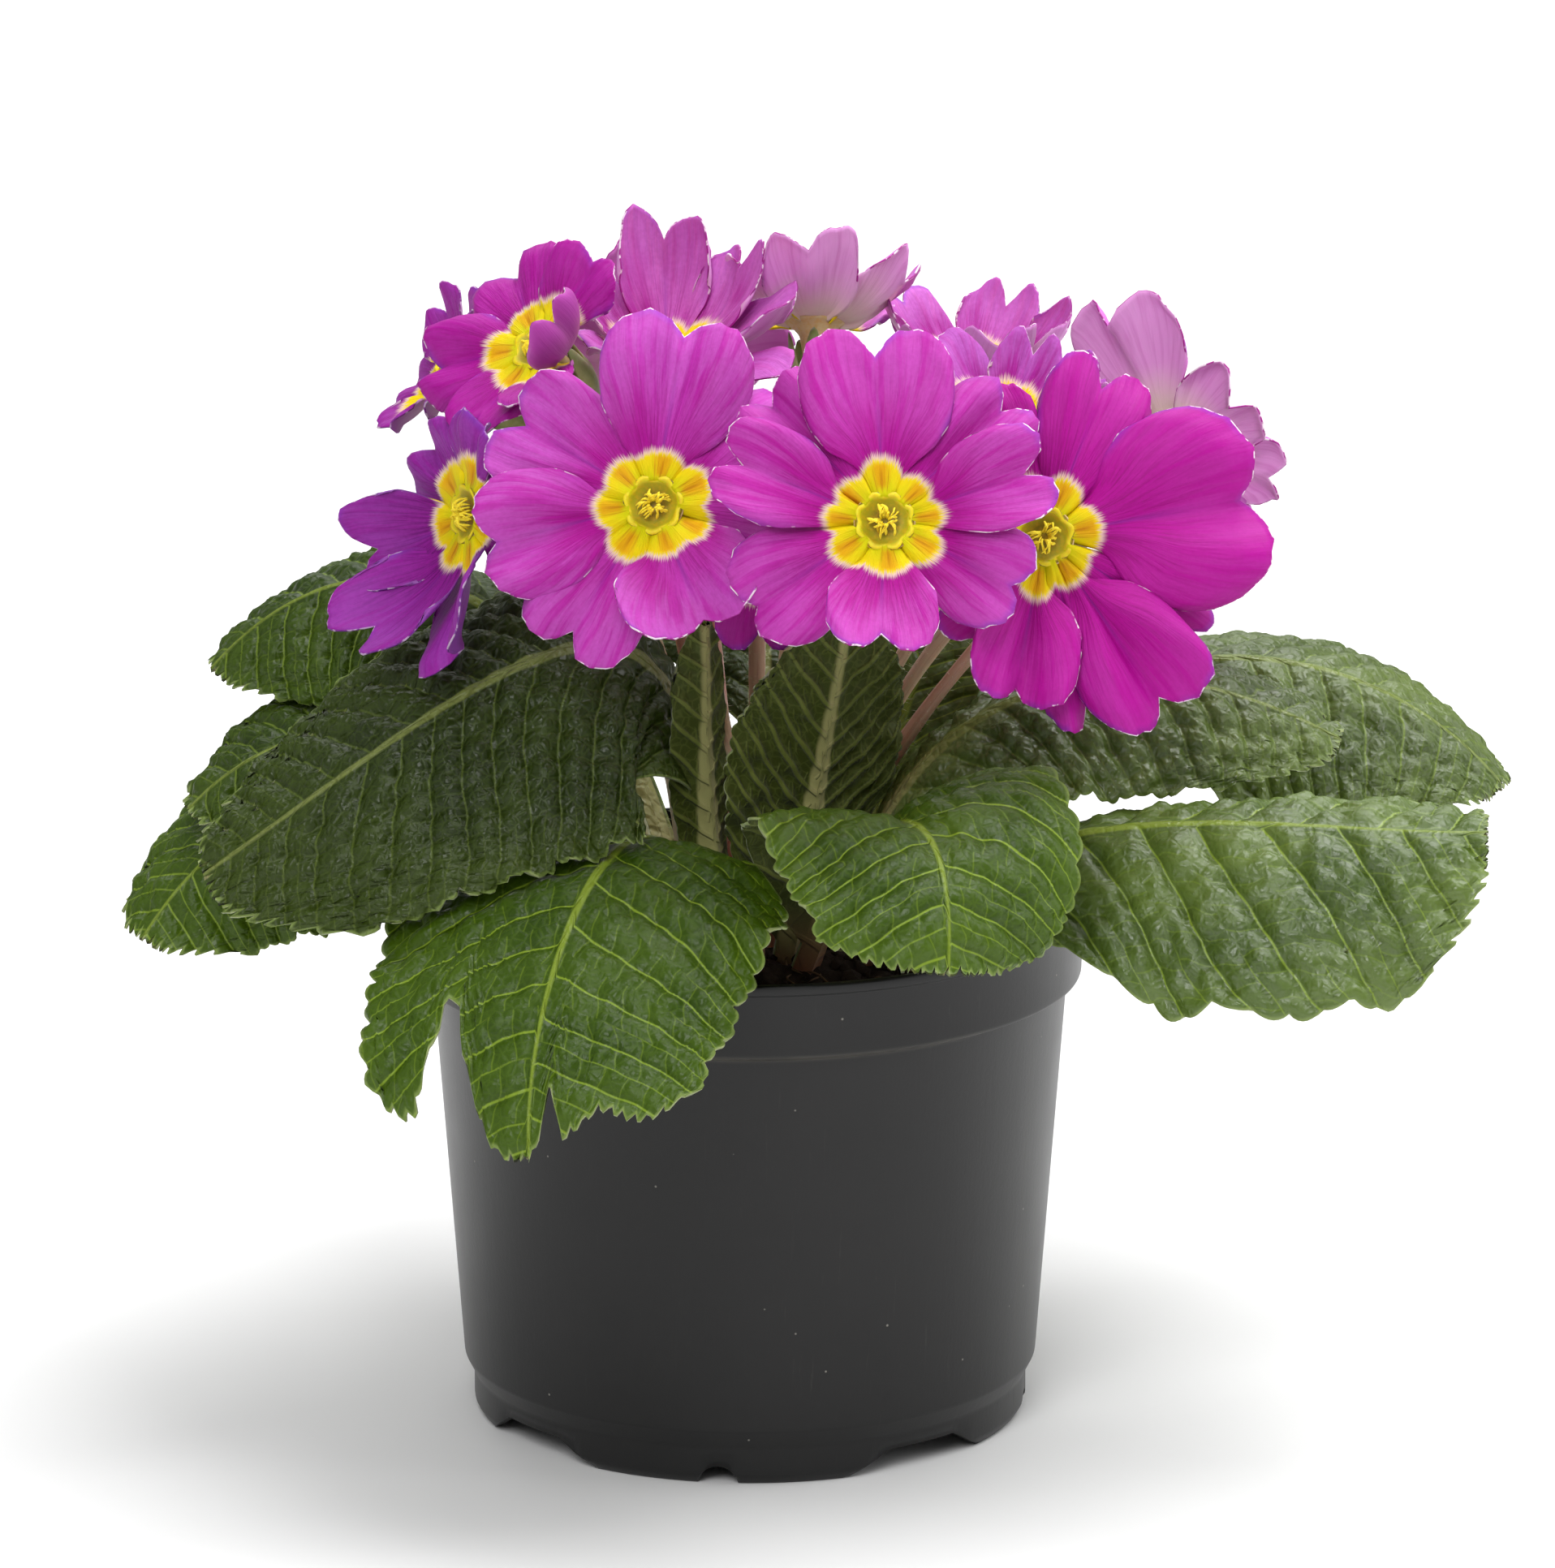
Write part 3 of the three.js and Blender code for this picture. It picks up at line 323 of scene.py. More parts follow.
def add_sheet(bm, columns, rows, surface):
    """Lays a grid on surface(s, t): s runs from 0 to 1 along it and t from -1 to 1 across, from its right
    to its left seen from s = 0 with the front side up. surface() also returns values for named layers."""
    verts = bmesh.ops.create_grid(bm, x_segments=columns, y_segments=rows, size=1.0)["verts"]
    flat = np.array([v.co for v in verts])
    points, values = surface((flat[:, 1] + 1) / 2, -flat[:, 0])
    for vert, point in zip(verts, points):
        vert.co = point
    for name, numbers in values.items():
        if name == "thickness":
            layer = bm.verts.layers.deform.verify()
            for vert, number in zip(verts, numbers):
                vert[layer][0] = float(number)
        else:
            layer = bm.verts.layers.float_vector[name]
            table = np.column_stack([np.broadcast_to(number, len(verts)) for number in numbers])
            for vert, row in zip(verts, table):
                vert[layer] = row
    return verts


def add_round(bm, sides, rows, surface):
    """A closed skin: a sheet whose two side edges meet and whose ends run to a point."""
    verts = add_sheet(bm, sides, rows, surface)
    bmesh.ops.remove_doubles(bm, verts=verts, dist=1e-4)


def lathe(bm, steps, profile):
    """Turns a profile of (radius, height) points about the Z axis."""
    verts = [bm.verts.new((radius, 0, height)) for radius, height in profile]
    edges = [bm.edges.new(pair) for pair in zip(verts, verts[1:])]
    bmesh.ops.spin(bm, geom=verts + edges, cent=(0, 0, 0), axis=(0, 0, 1), dvec=(0, 0, 0),
                   angle=math.tau, steps=steps, use_merge=True)
    bmesh.ops.remove_doubles(bm, verts=bm.verts, dist=1e-4)
    bmesh.ops.recalc_face_normals(bm, faces=bm.faces)


def rounded(profile, radius, steps=3):
    """The profile with each inner corner drawn as an arc that starts within radius of it."""
    points = [np.array(p, float) for p in profile]
    out = [points[0]]
    for before, corner, after in zip(points, points[1:], points[2:]):
        reach = min(radius, 0.45 * np.linalg.norm(before - corner), 0.45 * np.linalg.norm(after - corner))
        start = corner + unit(before - corner) * reach
        end = corner + unit(after - corner) * reach
        for i in range(steps + 1):
            u = i / steps
            out.append((1 - u) ** 2 * start + 2 * u * (1 - u) * corner + u * u * end)
    return out + [points[-1]]


def mesh_of(name, bm, scale=MM):
    """The finished mesh, brought from millimetres to metres."""
    bmesh.ops.scale(bm, vec=(scale, scale, scale), verts=bm.verts)
    mesh = bpy.data.meshes.new(name)
    bm.to_mesh(mesh)
    bm.free()
    return mesh


def add_object(name, data):
    """A new object at the origin of the scene."""
    made = bpy.data.objects.new(name, data)
    bpy.context.scene.collection.objects.link(made)
    return made


def finish_piece(name, bm, materials, replaced=(), recalculate=False):
    """Makes the mesh an object that rides on the pot and stands for its CAD nodes."""
    if recalculate:
        bmesh.ops.recalc_face_normals(bm, faces=bm.faces)
    mesh = mesh_of(name, bm)
    mesh.shade_smooth()
    for material in materials:
        mesh.materials.append(material)
    piece = add_object(name, mesh)
    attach(piece, "root")
    if replaced:
        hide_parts(*replaced)
    return piece


def thicken(piece, thickness, varied=False):
    """Gives a sheet its thickness behind its front. The back and the rim take the next materials."""
    modifier = piece.modifiers.new("Thickness", "SOLIDIFY")
    modifier.thickness = thickness * MM
    modifier.offset = -1
    modifier.material_offset = 1
    modifier.material_offset_rim = 2
    if varied:
        piece.vertex_groups.new(name="thickness")
        modifier.vertex_group = "thickness"


def add_spike(bm, foot, direction, length, radius):
    """A three-sided hair."""
    turn = Vector(direction).to_track_quat("Z", "Y").to_matrix().to_4x4()
    place = Matrix.Translation(Vector(foot) + Vector(direction).normalized() * (length / 2)) @ turn
    bmesh.ops.create_cone(bm, cap_ends=True, segments=3, radius1=radius, radius2=0.0, depth=length,
                          matrix=place)


def paint(bm, first, number):
    """Gives the faces from the first on the material with this number."""
    bm.faces.ensure_lookup_table()
    for face in bm.faces[first:]:
        face.material_index = number


# ---- Materials ----


def rgb(red, green, blue):
    """A display colour of 0 to 255 as the linear colour a shader takes."""
    return tuple(c / 255 / 12.92 if c <= 10 else ((c / 255 + 0.055) / 1.055) ** 2.4
                 for c in (red, green, blue)) + (1.0,)


class Shader:
    """A material of one Principled shader, with short calls for the nodes that feed it."""

    def __init__(self, name, **fixed):
        self.material = bpy.data.materials.new(name)
        self.material.use_nodes = True
        self.tree = self.material.node_tree
        self.tree.nodes.clear()
        self.shader = self.tree.nodes.new("ShaderNodeBsdfPrincipled")
        out = self.tree.nodes.new("ShaderNodeOutputMaterial")
        self.tree.links.new(self.shader.outputs["BSDF"], out.inputs["Surface"])
        for socket, value in fixed.items():
            self.shader.inputs[socket.replace("_", " ")].default_value = value

    def put(self, socket, value):
        """Links the value to a socket where it comes from a node, and otherwise sets it."""
        if isinstance(value, bpy.types.NodeSocket):
            self.tree.links.new(value, socket)
        else:
            socket.default_value = value

    def set(self, socket, value):
        self.put(self.shader.inputs[socket], value)

    def node(self, kind, inputs, output=0, **settings):
        """A new node's output, with its inputs by name or number."""
        node = self.tree.nodes.new(kind)
        for key, value in settings.items():
            setattr(node, key, value)
        for key, value in inputs.items():
            self.put(node.inputs[key], value)
        return node.outputs[output]

    def math(self, operation, a, b=0.0):
        return self.node("ShaderNodeMath", {0: a, 1: b}, operation=operation)

    def chain(self, operation, values):
        """The values joined by one operation, from the first to the last."""
        result = values[0]
        for value in values[1:]:
            result = self.math(operation, result, value)
        return result

    def plus(self, *values):
        return self.chain("ADD", values)

    def minus(self, a, b):
        return self.math("SUBTRACT", a, b)

    def times(self, *values):
        return self.chain("MULTIPLY", values)

    def larger(self, a, b):
        return self.math("MAXIMUM", a, b)

    def absolute(self, value):
        return self.math("ABSOLUTE", value)

    def whole(self, value):
        """The nearest whole number."""
        return self.math("FLOOR", self.plus(value, 0.5))

    def step(self, value, low, high, start=0.0, end=1.0):
        """start below low and end above high, with a smooth change between."""
        return self.node("ShaderNodeMapRange", {"Value": value, "From Min": low, "From Max": high,
                                                "To Min": start, "To Max": end},
                         interpolation_type="SMOOTHSTEP")

    def fall(self, value, low, high):
        """1 below low and 0 above high."""
        return self.step(value, low, high, 1.0, 0.0)

    def mix(self, share, a, b):
        return self.node("ShaderNodeMix", {0: share, 6: a, 7: b}, output=2, data_type="RGBA")

    def noise(self, vector, scale, detail=2.0, roughness=0.5):
        return self.node("ShaderNodeTexNoise", {"Vector": vector, "Scale": scale, "Detail": detail,
                                                "Roughness": roughness})

    def streaks(self, x, y, z, detail=2.0, roughness=0.5):
        """Noise in the space of three values, with features one unit wide."""
        vector = self.node("ShaderNodeCombineXYZ", {0: x, 1: y, 2: z})
        return self.noise(vector, 1.0, detail, roughness)

    def cells(self, vector, scale, feature="DISTANCE_TO_EDGE", output="Distance"):
        return self.node("ShaderNodeTexVoronoi", {"Vector": vector, "Scale": scale}, output=output,
                         feature=feature)

    def attribute(self, name):
        """The three values of a mesh's layer."""
        vector = self.node("ShaderNodeAttribute", {}, output="Vector", attribute_name=name)
        parts = self.tree.nodes.new("ShaderNodeSeparateXYZ")
        self.tree.links.new(vector, parts.inputs[0])
        return tuple(parts.outputs)

    def place(self):
        """The point's own coordinates, in metres."""
        return self.node("ShaderNodeTexCoord", {}, output="Object")

    def finish(self, colour, height=None, depth=0.0, strength=1.0):
        """The material with its colour and, where there is a height, relief of a depth in millimetres."""
        self.set("Base Color", colour)
        if height is not None:
            self.set("Normal", self.node("ShaderNodeBump", {"Height": height, "Distance": depth * MM,
                                                            "Strength": strength}))
        return self.material


def petal_values(m):
    """What a petal's mesh holds at each point."""
    along, across, edge = m.attribute("petal")
    star, lobe, radius = m.attribute("eye")
    violet, pale, seed = m.attribute("tint")
    return SimpleNamespace(along=along, across=across, edge=edge, star=star, lobe=lobe, radius=radius,
                           violet=violet, pale=pale, seed=seed)


def along_petal(m, v, across, along, seed, detail=2.0, roughness=0.5):
    """Noise drawn out along a petal, with so many features across it and along it."""
    return m.streaks(m.times(v.across, across), m.times(v.along, along), m.times(v.seed, seed),
                     detail, roughness)


def petal_body(m, v, settings):
    """Magenta to violet, paler outward, with pale lilac streaks of painted sheen, dark rays and a bluish
    middle line.
    """
    body = m.mix(v.violet, settings.petal_colour, settings.violet_colour)
    light = m.mix(m.step(v.pale, 0.7, 1.0), settings.petal_light_colour, rgb(232, 138, 220))
    light = m.mix(v.violet, light, rgb(160, 66, 172))
    outward = m.plus(m.times(m.step(v.along, 0.25, 1.0), 0.6), m.times(m.step(v.broad, 0.4, 0.65), 0.6))
    colour = m.mix(m.times(outward, m.plus(v.pale, 0.12)), body, light)
    # Painted sheen: pale lilac streaks over the outer petal, stronger on the paler blooms.
    streaks = m.times(m.fall(v.folds, 0.45, 0.62), m.step(v.along, 0.25, 0.7), m.plus(v.pale, 0.15), 0.5)
    colour = m.mix(streaks, colour, m.mix(v.violet, rgb(204, 106, 200), rgb(150, 90, 186)))
    dark_rays = m.times(m.step(v.rays, 0.44, 0.64), m.step(v.along, 0.05, 0.85, 1.0, 0.2),
                        m.minus(0.95, m.times(v.pale, 0.45)))
    ray_colour = m.mix(v.violet, settings.petal_ray_colour, rgb(84, 0, 92))
    colour = m.mix(dark_rays, colour, ray_colour)
    colour = m.mix(m.times(m.step(v.grain, 0.35, 0.65), 0.12), colour, ray_colour)
    middle = m.times(m.fall(m.absolute(v.across), 0.0, 0.07), m.step(v.along, 0.1, 0.9, 0.5, 0.0))
    return m.mix(middle, colour, rgb(120, 40, 150))


def petal_margin(m, v, colour):
    """Bluish patches along the margin, and a painted highlight: a thin broken white line where it catches
    the light.
    """
    blue = m.times(m.fall(v.edge, 0.1, 1.5), m.step(v.broad, 0.45, 0.65),
                   m.step(v.along, 0.4, 0.8, 0.0, 0.45))
    colour = m.mix(blue, colour, rgb(122, 58, 186))
    # Painted highlight: a thin broken white glint along the margin, fainter on the violet blooms.
    line = m.times(m.fall(v.edge, 0.08, 0.24), m.step(m.noise(m.place(), 620.0, 3.0), 0.47, 0.57),
                   m.step(v.along, 0.5, 0.8), m.minus(1.0, m.times(v.violet, 0.6)))
    return m.mix(line, colour, rgb(250, 232, 246))


def petal_eye(m, v, colour, settings):
    """The yellow eye with its pale feathered fringe, and a streaked orange patch on each lobe."""
    feather = along_petal(m, v, 42.0, 3.0, 1.0)
    reach = m.plus(v.star, m.times(m.minus(feather, 0.5), 0.3))
    colour = m.mix(m.step(reach, 0.97, 1.1, 0.85, 0.0), colour, rgb(242, 214, 196))
    yellow = m.mix(m.step(v.star, 0.45, 0.9), rgb(222, 214, 2), rgb(240, 212, 8))
    patch = m.times(m.step(v.star, 0.46, 0.6), m.fall(v.star, 0.84, 0.97),
                    m.fall(m.plus(v.lobe, m.times(feather, 0.5)), 0.4, 0.8))
    yellow = m.mix(m.times(patch, 0.8), yellow, settings.patch_colour)
    from_mark = m.math("MINIMUM", v.lobe, m.plus(m.absolute(m.minus(v.lobe, 0.36)), 0.05))
    streak = m.times(m.fall(from_mark, 0.01, 0.13), m.step(v.star, 0.4, 0.54), m.fall(v.star, 0.66, 0.92))
    yellow = m.mix(m.times(streak, 0.6), yellow, rgb(182, 104, 2))
    return m.mix(m.fall(reach, 0.92, 1.0), colour, yellow)


def petal_front(settings):
    """Velvety upper side of a petal, with its part of the eye."""
    m = Shader("petal_front", Roughness=0.55, Subsurface_Weight=0.12, Subsurface_Scale=0.0012,
               Subsurface_Radius=(1.0, 0.35, 0.8), Specular_IOR_Level=0.16)
    v = petal_values(m)
    v.rays = along_petal(m, v, 24.0, 2.4, 9.0, 4.0, 0.7)
    v.folds = along_petal(m, v, 9.0, 1.3, 7.0, 3.0, 0.6)
    v.broad = along_petal(m, v, 1.6, 1.5, 5.0)
    v.grain = m.noise(m.place(), 1500.0)
    colour = petal_margin(m, v, petal_body(m, v, settings))
    relief = m.plus(m.times(v.rays, m.step(v.along, 0.0, 1.0, 0.8, 0.3)), m.times(v.folds, 0.9),
                    m.times(v.grain, 0.12))
    return m.finish(petal_eye(m, v, colour, settings), relief, 0.5, 0.75)


def petal_back(settings):
    """Paler lilac pink, whitish where the petal joins the tube."""
    m = Shader("petal_back", Roughness=0.55, Subsurface_Weight=0.15, Subsurface_Scale=0.0015,
               Subsurface_Radius=(1.0, 0.4, 0.85), Specular_IOR_Level=0.24)
    v = petal_values(m)
    rays = along_petal(m, v, 15.0, 1.2, 9.0, 3.0, 0.6)
    # Backs turn darker magenta as pale falls: the bloom's own tone, and on left_high painted shade for
    # backs in shadow.
    body = m.mix(v.violet, m.mix(v.pale, rgb(176, 48, 152), settings.back_colour), rgb(140, 70, 166))
    colour = m.mix(m.times(m.step(rays, 0.45, 0.7), 0.3), body, rgb(172, 60, 152))
    whitish = m.times(m.step(v.radius, 5.0, 15.0, 0.85, 0.0), m.plus(m.times(v.pale, 0.7), 0.3))
    return m.finish(m.mix(whitish, colour, rgb(236, 222, 200)), rays, 0.3, 0.5)


def petal_rim():
    """The cut edge of a petal, where it catches the light as a thin broken line."""
    m = Shader("petal_rim", Roughness=0.4, Specular_IOR_Level=0.4)
    v = petal_values(m)
    beads = m.times(m.step(m.noise(m.place(), 620.0, 3.0), 0.48, 0.58), m.step(v.along, 0.6, 0.9),
                    m.minus(1.0, m.times(v.violet, 0.6)))
    outer = m.mix(v.violet, rgb(168, 20, 140), rgb(104, 24, 126))
    inner = m.mix(m.step(v.star, 0.95, 1.1), rgb(232, 206, 10), outer)
    return m.finish(m.mix(beads, inner, rgb(250, 232, 246)))


def throat_colour():
    """Yellow ring, olive mouth and pale tube, along the piece's own length."""
    m = Shader("throat", Roughness=0.5, Subsurface_Weight=0.2, Subsurface_Scale=0.001,
               Specular_IOR_Level=0.4)
    inward, _, _ = m.attribute("throat")
    colour = m.mix(m.step(inward, 1.9, 2.7), rgb(226, 208, 2), rgb(164, 154, 12))
    colour = m.mix(m.step(inward, 2.8, 4.6), colour, rgb(124, 108, 6))
    colour = m.mix(m.step(inward, 6.6, 7.4), colour, rgb(222, 196, 146))
    grain = m.noise(m.place(), 1400.0, 2.0)
    colour = m.mix(m.times(m.step(grain, 0.4, 0.7), 0.35), colour, rgb(214, 160, 6))
    return m.finish(colour, grain, 0.12, 0.6)


def anther_colour():
    """Bright yellow, grainy with pollen."""
    m = Shader("anther", Roughness=0.75, Specular_IOR_Level=0.2)
    grain = m.cells(m.place(), 5200.0, "F1")
    colour = m.mix(m.step(grain, 0.3, 0.7), rgb(255, 240, 76), rgb(248, 218, 44))
    return m.finish(colour, m.minus(1.0, grain), 0.1, 0.6)


def vein_masks(m):
    """The mesh's leaf values, with the distances in millimetres to the nearest vein of each kind."""
    lateral, cross, x = m.attribute("vein")
    along, edge, young = m.attribute("blade")
    spacing, light, _ = m.attribute("spacing")
    spacing = m.times(spacing, 0.85)
    q = m.plus(lateral, m.times(m.math("GREATER_THAN", x, 0.0), 0.5))
    row = m.whole(q)
    off = m.absolute(m.minus(q, row))
    cross_at = m.plus(cross, m.times(row, 0.37))
    to_cross = m.times(m.absolute(m.minus(cross_at, m.whole(cross_at))), BLADE["cross"])
    return SimpleNamespace(to_side=m.times(off, spacing), to_fork=m.times(m.minus(0.5, off), spacing),
                           to_cross=to_cross, x=x, along=along, edge=edge, young=young, light=light)


def leaf_top(settings, name, shine):
    """Crinkled green with sunken paler veins, a pale rib and a glossy bulge in each cell."""
    m = Shader(name, Specular_IOR_Level=shine)
    v = vein_masks(m)
    place = m.place()
    small = m.cells(place, 620.0)
    grain = m.noise(place, 900.0, 3.0, 0.6)
    patches = m.noise(place, 55.0, 3.0)
    lines = m.larger(m.fall(v.to_side, 0.06, 0.26), m.times(m.fall(v.to_cross, 0.03, 0.2), 0.3))
    forked = m.times(m.fall(v.to_fork, 0.03, 0.2), m.step(v.edge, 5.0, 11.0, 0.7, 0.0))
    lines = m.larger(lines, forked)
    rib_half = m.times(m.step(v.along, 0.1, 0.95, 2.3, 0.5), m.minus(1.0, m.times(v.young, 0.45)))
    rib = m.fall(m.minus(m.absolute(v.x), rib_half), -0.35, 0.15)
    dark = m.mix(v.young, settings.old_leaf_colour, settings.young_leaf_colour)
    bright = m.mix(v.young, rgb(56, 70, 20), rgb(71, 98, 6))
    colour = m.mix(m.times(m.step(patches, 0.35, 0.7), 0.55), dark, bright)
    colour = m.mix(m.times(m.fall(v.edge, 0.0, 9.0), 0.55), colour, bright)
    colour = m.mix(m.times(m.fall(small, 0.02, 0.12), 0.35), colour, bright)
    # Painted light: the "light" value pales patches of the blade to a greyish green sheen.
    colour = m.mix(m.times(v.light, m.step(patches, 0.3, 0.7, 0.15, 0.4)), colour, rgb(128, 148, 72))
    shown = m.plus(m.times(v.young, 0.6), 0.35)
    colour = m.mix(m.times(lines, shown), colour, m.mix(v.young, rgb(92, 106, 46), rgb(132, 158, 40)))
    colour = m.mix(m.step(v.edge, 0.05, 0.6, 0.6, 0.0), colour, rgb(140, 160, 84))
    low_stem = m.mix(m.step(v.along, 0.04, 0.14), rgb(158, 96, 78), settings.rib_colour)
    high_stem = m.mix(v.young, rgb(104, 112, 60), rgb(122, 144, 36))
    stem = m.mix(m.step(v.along, 0.12, 0.42), low_stem, high_stem)
    colour = m.mix(m.larger(rib, m.fall(v.along, 0.1, 0.2)), colour, stem)
    m.set("Roughness", m.plus(m.step(small, 0.0, 0.35, 0.42, 0.26), m.times(grain, 0.08)))
    fine = m.minus(0.5, m.times(v.young, 0.32))
    height = m.plus(m.times(m.step(small, 0.0, 0.3), fine), m.times(grain, 0.35),
                    m.times(m.step(v.to_cross, 0.0, 1.1), fine, 1.6),
                    m.times(m.step(v.to_side, 0.0, 1.0), 0.8))
    return m.finish(colour, height, 0.32, 0.85)


def leaf_under(settings):
    """Paler and duller, with the veins raised."""
    m = Shader("leaf_under", Roughness=0.62, Sheen_Weight=0.1, Sheen_Roughness=0.5, Specular_IOR_Level=0.3)
    v = vein_masks(m)
    small = m.cells(m.place(), 620.0)
    grain = m.noise(m.place(), 900.0, 3.0, 0.6)
    lines = m.larger(m.fall(v.to_side, 0.2, 0.5), m.times(m.fall(v.to_cross, 0.06, 0.26), 0.5))
    rib_half = m.step(v.along, 0.1, 0.95, 2.6, 0.7)
    rib = m.fall(m.minus(m.absolute(v.x), rib_half), -0.4, 0.3)
    colour = m.mix(v.young, rgb(52, 60, 18), rgb(60, 70, 6))
    colour = m.mix(m.times(m.fall(small, 0.02, 0.12), 0.4), colour, rgb(94, 106, 44))
    colour = m.mix(m.times(lines, 0.7), colour, rgb(112, 122, 52))
    low_stem = m.mix(m.step(v.along, 0.04, 0.2), rgb(158, 96, 78), settings.rib_colour)
    colour = m.mix(m.larger(rib, m.fall(v.along, 0.1, 0.2)), colour, low_stem)
    return m.finish(colour, m.plus(lines, m.times(grain, 0.3)), 0.35, 0.8)


def leaf_margin():
    """The thin edge of a blade, dried a little."""
    m = Shader("leaf_margin", Roughness=0.6, Sheen_Weight=0.2, Sheen_Roughness=0.5)
    grain = m.noise(m.place(), 700.0, 2.0)
    return m.finish(m.mix(grain, rgb(84, 104, 36), rgb(170, 180, 120)))


def stalk_colour():
    """Cream to pinkish brown stalk, greener towards the calyx."""
    m = Shader("stalk", Roughness=0.32, Subsurface_Weight=0.2, Subsurface_Scale=0.002,
               Specular_IOR_Level=0.5)
    along, turn, pink = m.attribute("stalk")
    lines = m.streaks(m.times(turn, 9.0), m.times(along, 5.0), pink, 2.0)
    colour = m.mix(pink, rgb(222, 208, 172), rgb(204, 150, 132))
    colour = m.mix(m.times(m.step(lines, 0.4, 0.7), 0.4), colour, rgb(170, 112, 96))
    colour = m.mix(m.step(along, 0.75, 1.0, 0.0, 0.8), colour, rgb(176, 186, 120))
    return m.finish(colour, m.plus(lines, m.noise(m.place(), 1200.0, 2.0)), 0.15, 0.6)


def calyx_colour():
    """Pale green bell with darker ribs and teeth."""
    m = Shader("calyx", Roughness=0.55, Subsurface_Weight=0.1, Subsurface_Scale=0.001, Sheen_Weight=0.35,
               Sheen_Roughness=0.45)
    up, ridge, _ = m.attribute("stalk")
    grain = m.noise(m.place(), 800.0, 3.0)
    colour = m.mix(m.times(m.step(grain, 0.35, 0.7), 0.4), rgb(168, 176, 104), rgb(196, 200, 140))
    colour = m.mix(m.times(ridge, 0.7), colour, rgb(96, 116, 48))
    colour = m.mix(m.step(up, 0.6, 1.0, 0.0, 0.6), colour, rgb(104, 124, 52))
    return m.finish(colour, grain, 0.2, 0.6)


def hair_colour():
    """Pale, slightly shiny down."""
    m = Shader("hair", Roughness=0.4, Sheen_Weight=0.3)
    return m.finish(m.mix(m.noise(m.place(), 300.0), rgb(190, 196, 150), rgb(232, 232, 206)))


def compost_colour(settings):
    """Dark moist peat with paler fibres."""
    m = Shader("compost", Roughness=0.92, Specular_IOR_Level=0.25)
    place = m.place()
    grain = m.noise(place, 420.0, 5.0, 0.7)
    crumbs = m.cells(place, 520.0, "F1")
    colour = m.mix(m.step(grain, 0.3, 0.72), settings.compost_colour, rgb(46, 34, 24))
    colour = m.mix(m.times(m.step(m.noise(place, 160.0, 4.0), 0.62, 0.75), 0.5), colour, rgb(98, 74, 50))
    return m.finish(colour, m.plus(m.times(crumbs, 0.8), grain), 0.9, 1.0)


def fibre_colour():
    """Dry brown strands of peat."""
    m = Shader("peat_fibre", Roughness=0.85)
    return m.finish(m.mix(m.noise(m.place(), 250.0, 3.0), rgb(60, 42, 28), rgb(124, 94, 62)))


def pot_colour(settings):
    """Satin black moulded plastic: fine mould texture, faint upright scuffs and specks of dried dust."""
    m = Shader("pot_plastic", Specular_IOR_Level=0.36)
    place = m.place()
    turn, height, _ = m.attribute("pot")
    fine = m.noise(place, 1500.0, 3.0, 0.6)
    cloud = m.noise(place, 28.0, 4.0, 0.6)
    scuffs = m.streaks(m.times(turn, 60.0), m.times(height, 0.08), 0.0, 4.0, 0.65)
    chance = m.node("ShaderNodeSeparateColor", {0: m.cells(place, 420.0, "F1", "Color")})
    chosen = m.math("GREATER_THAN", chance, 0.94)
    dust = m.times(m.fall(m.cells(place, 420.0, "F1"), 0.04, 0.11), chosen)
    marks = m.times(m.step(scuffs, 0.6, 0.78), m.step(cloud, 0.45, 0.7))
    from_ledge = m.absolute(m.minus(height, POT["height"] - POT["collar_drop"] - 0.3))
    ledge = m.times(m.fall(from_ledge, 0.1, 1.1), m.step(cloud, 0.4, 0.62))
    colour = m.mix(m.times(m.step(cloud, 0.3, 0.75), 0.5), settings.plastic_colour, rgb(29, 28, 28))
    colour = m.mix(m.times(marks, 0.3), colour, rgb(84, 82, 78))
    colour = m.mix(m.times(ledge, 0.5), colour, rgb(92, 88, 80))
    colour = m.mix(m.times(dust, 0.75), colour, rgb(150, 146, 138))
    dull = m.plus(m.times(dust, 0.3), m.times(marks, 0.15))
    m.set("Roughness", m.plus(m.times(cloud, 0.16), 0.3, dull))
    relief = m.plus(m.times(fine, 0.5), m.plus(m.times(scuffs, 0.5), m.times(dust, 0.8)))
    return m.finish(colour, relief, 0.06, 0.5)


# ---- Leaves ----


def leaf_reach(leaf, t):
    """How far along a blade its end comes at t across it, drawn back at its shoulders and clefts."""
    reach = 1 - leaf["blunt"] * np.abs(t) ** 3
    for place, half, depth in leaf["cuts"]:
        reach = reach - depth * np.exp(-np.abs((t - place) / (0.8 * half)) ** 1.7)
    return reach


def leaf_width(leaf, s, t):
    """Half the width of a blade at s along it, on the side that t is on."""
    start, broadest, petiole = leaf["start"], leaf["broadest"], BLADE["petiole"]
    opened = np.clip((s - start) / (broadest - start), 0, 1)
    narrowed = 1 - leaf["taper"] * np.maximum(0, (s - broadest) / (1 - broadest)) ** 2.2
    full = np.where(t < 0, leaf["width"][1], leaf["width"][0])
    return petiole + (full - petiole) * np.sin(math.pi / 2 * opened) ** 0.85 * narrowed


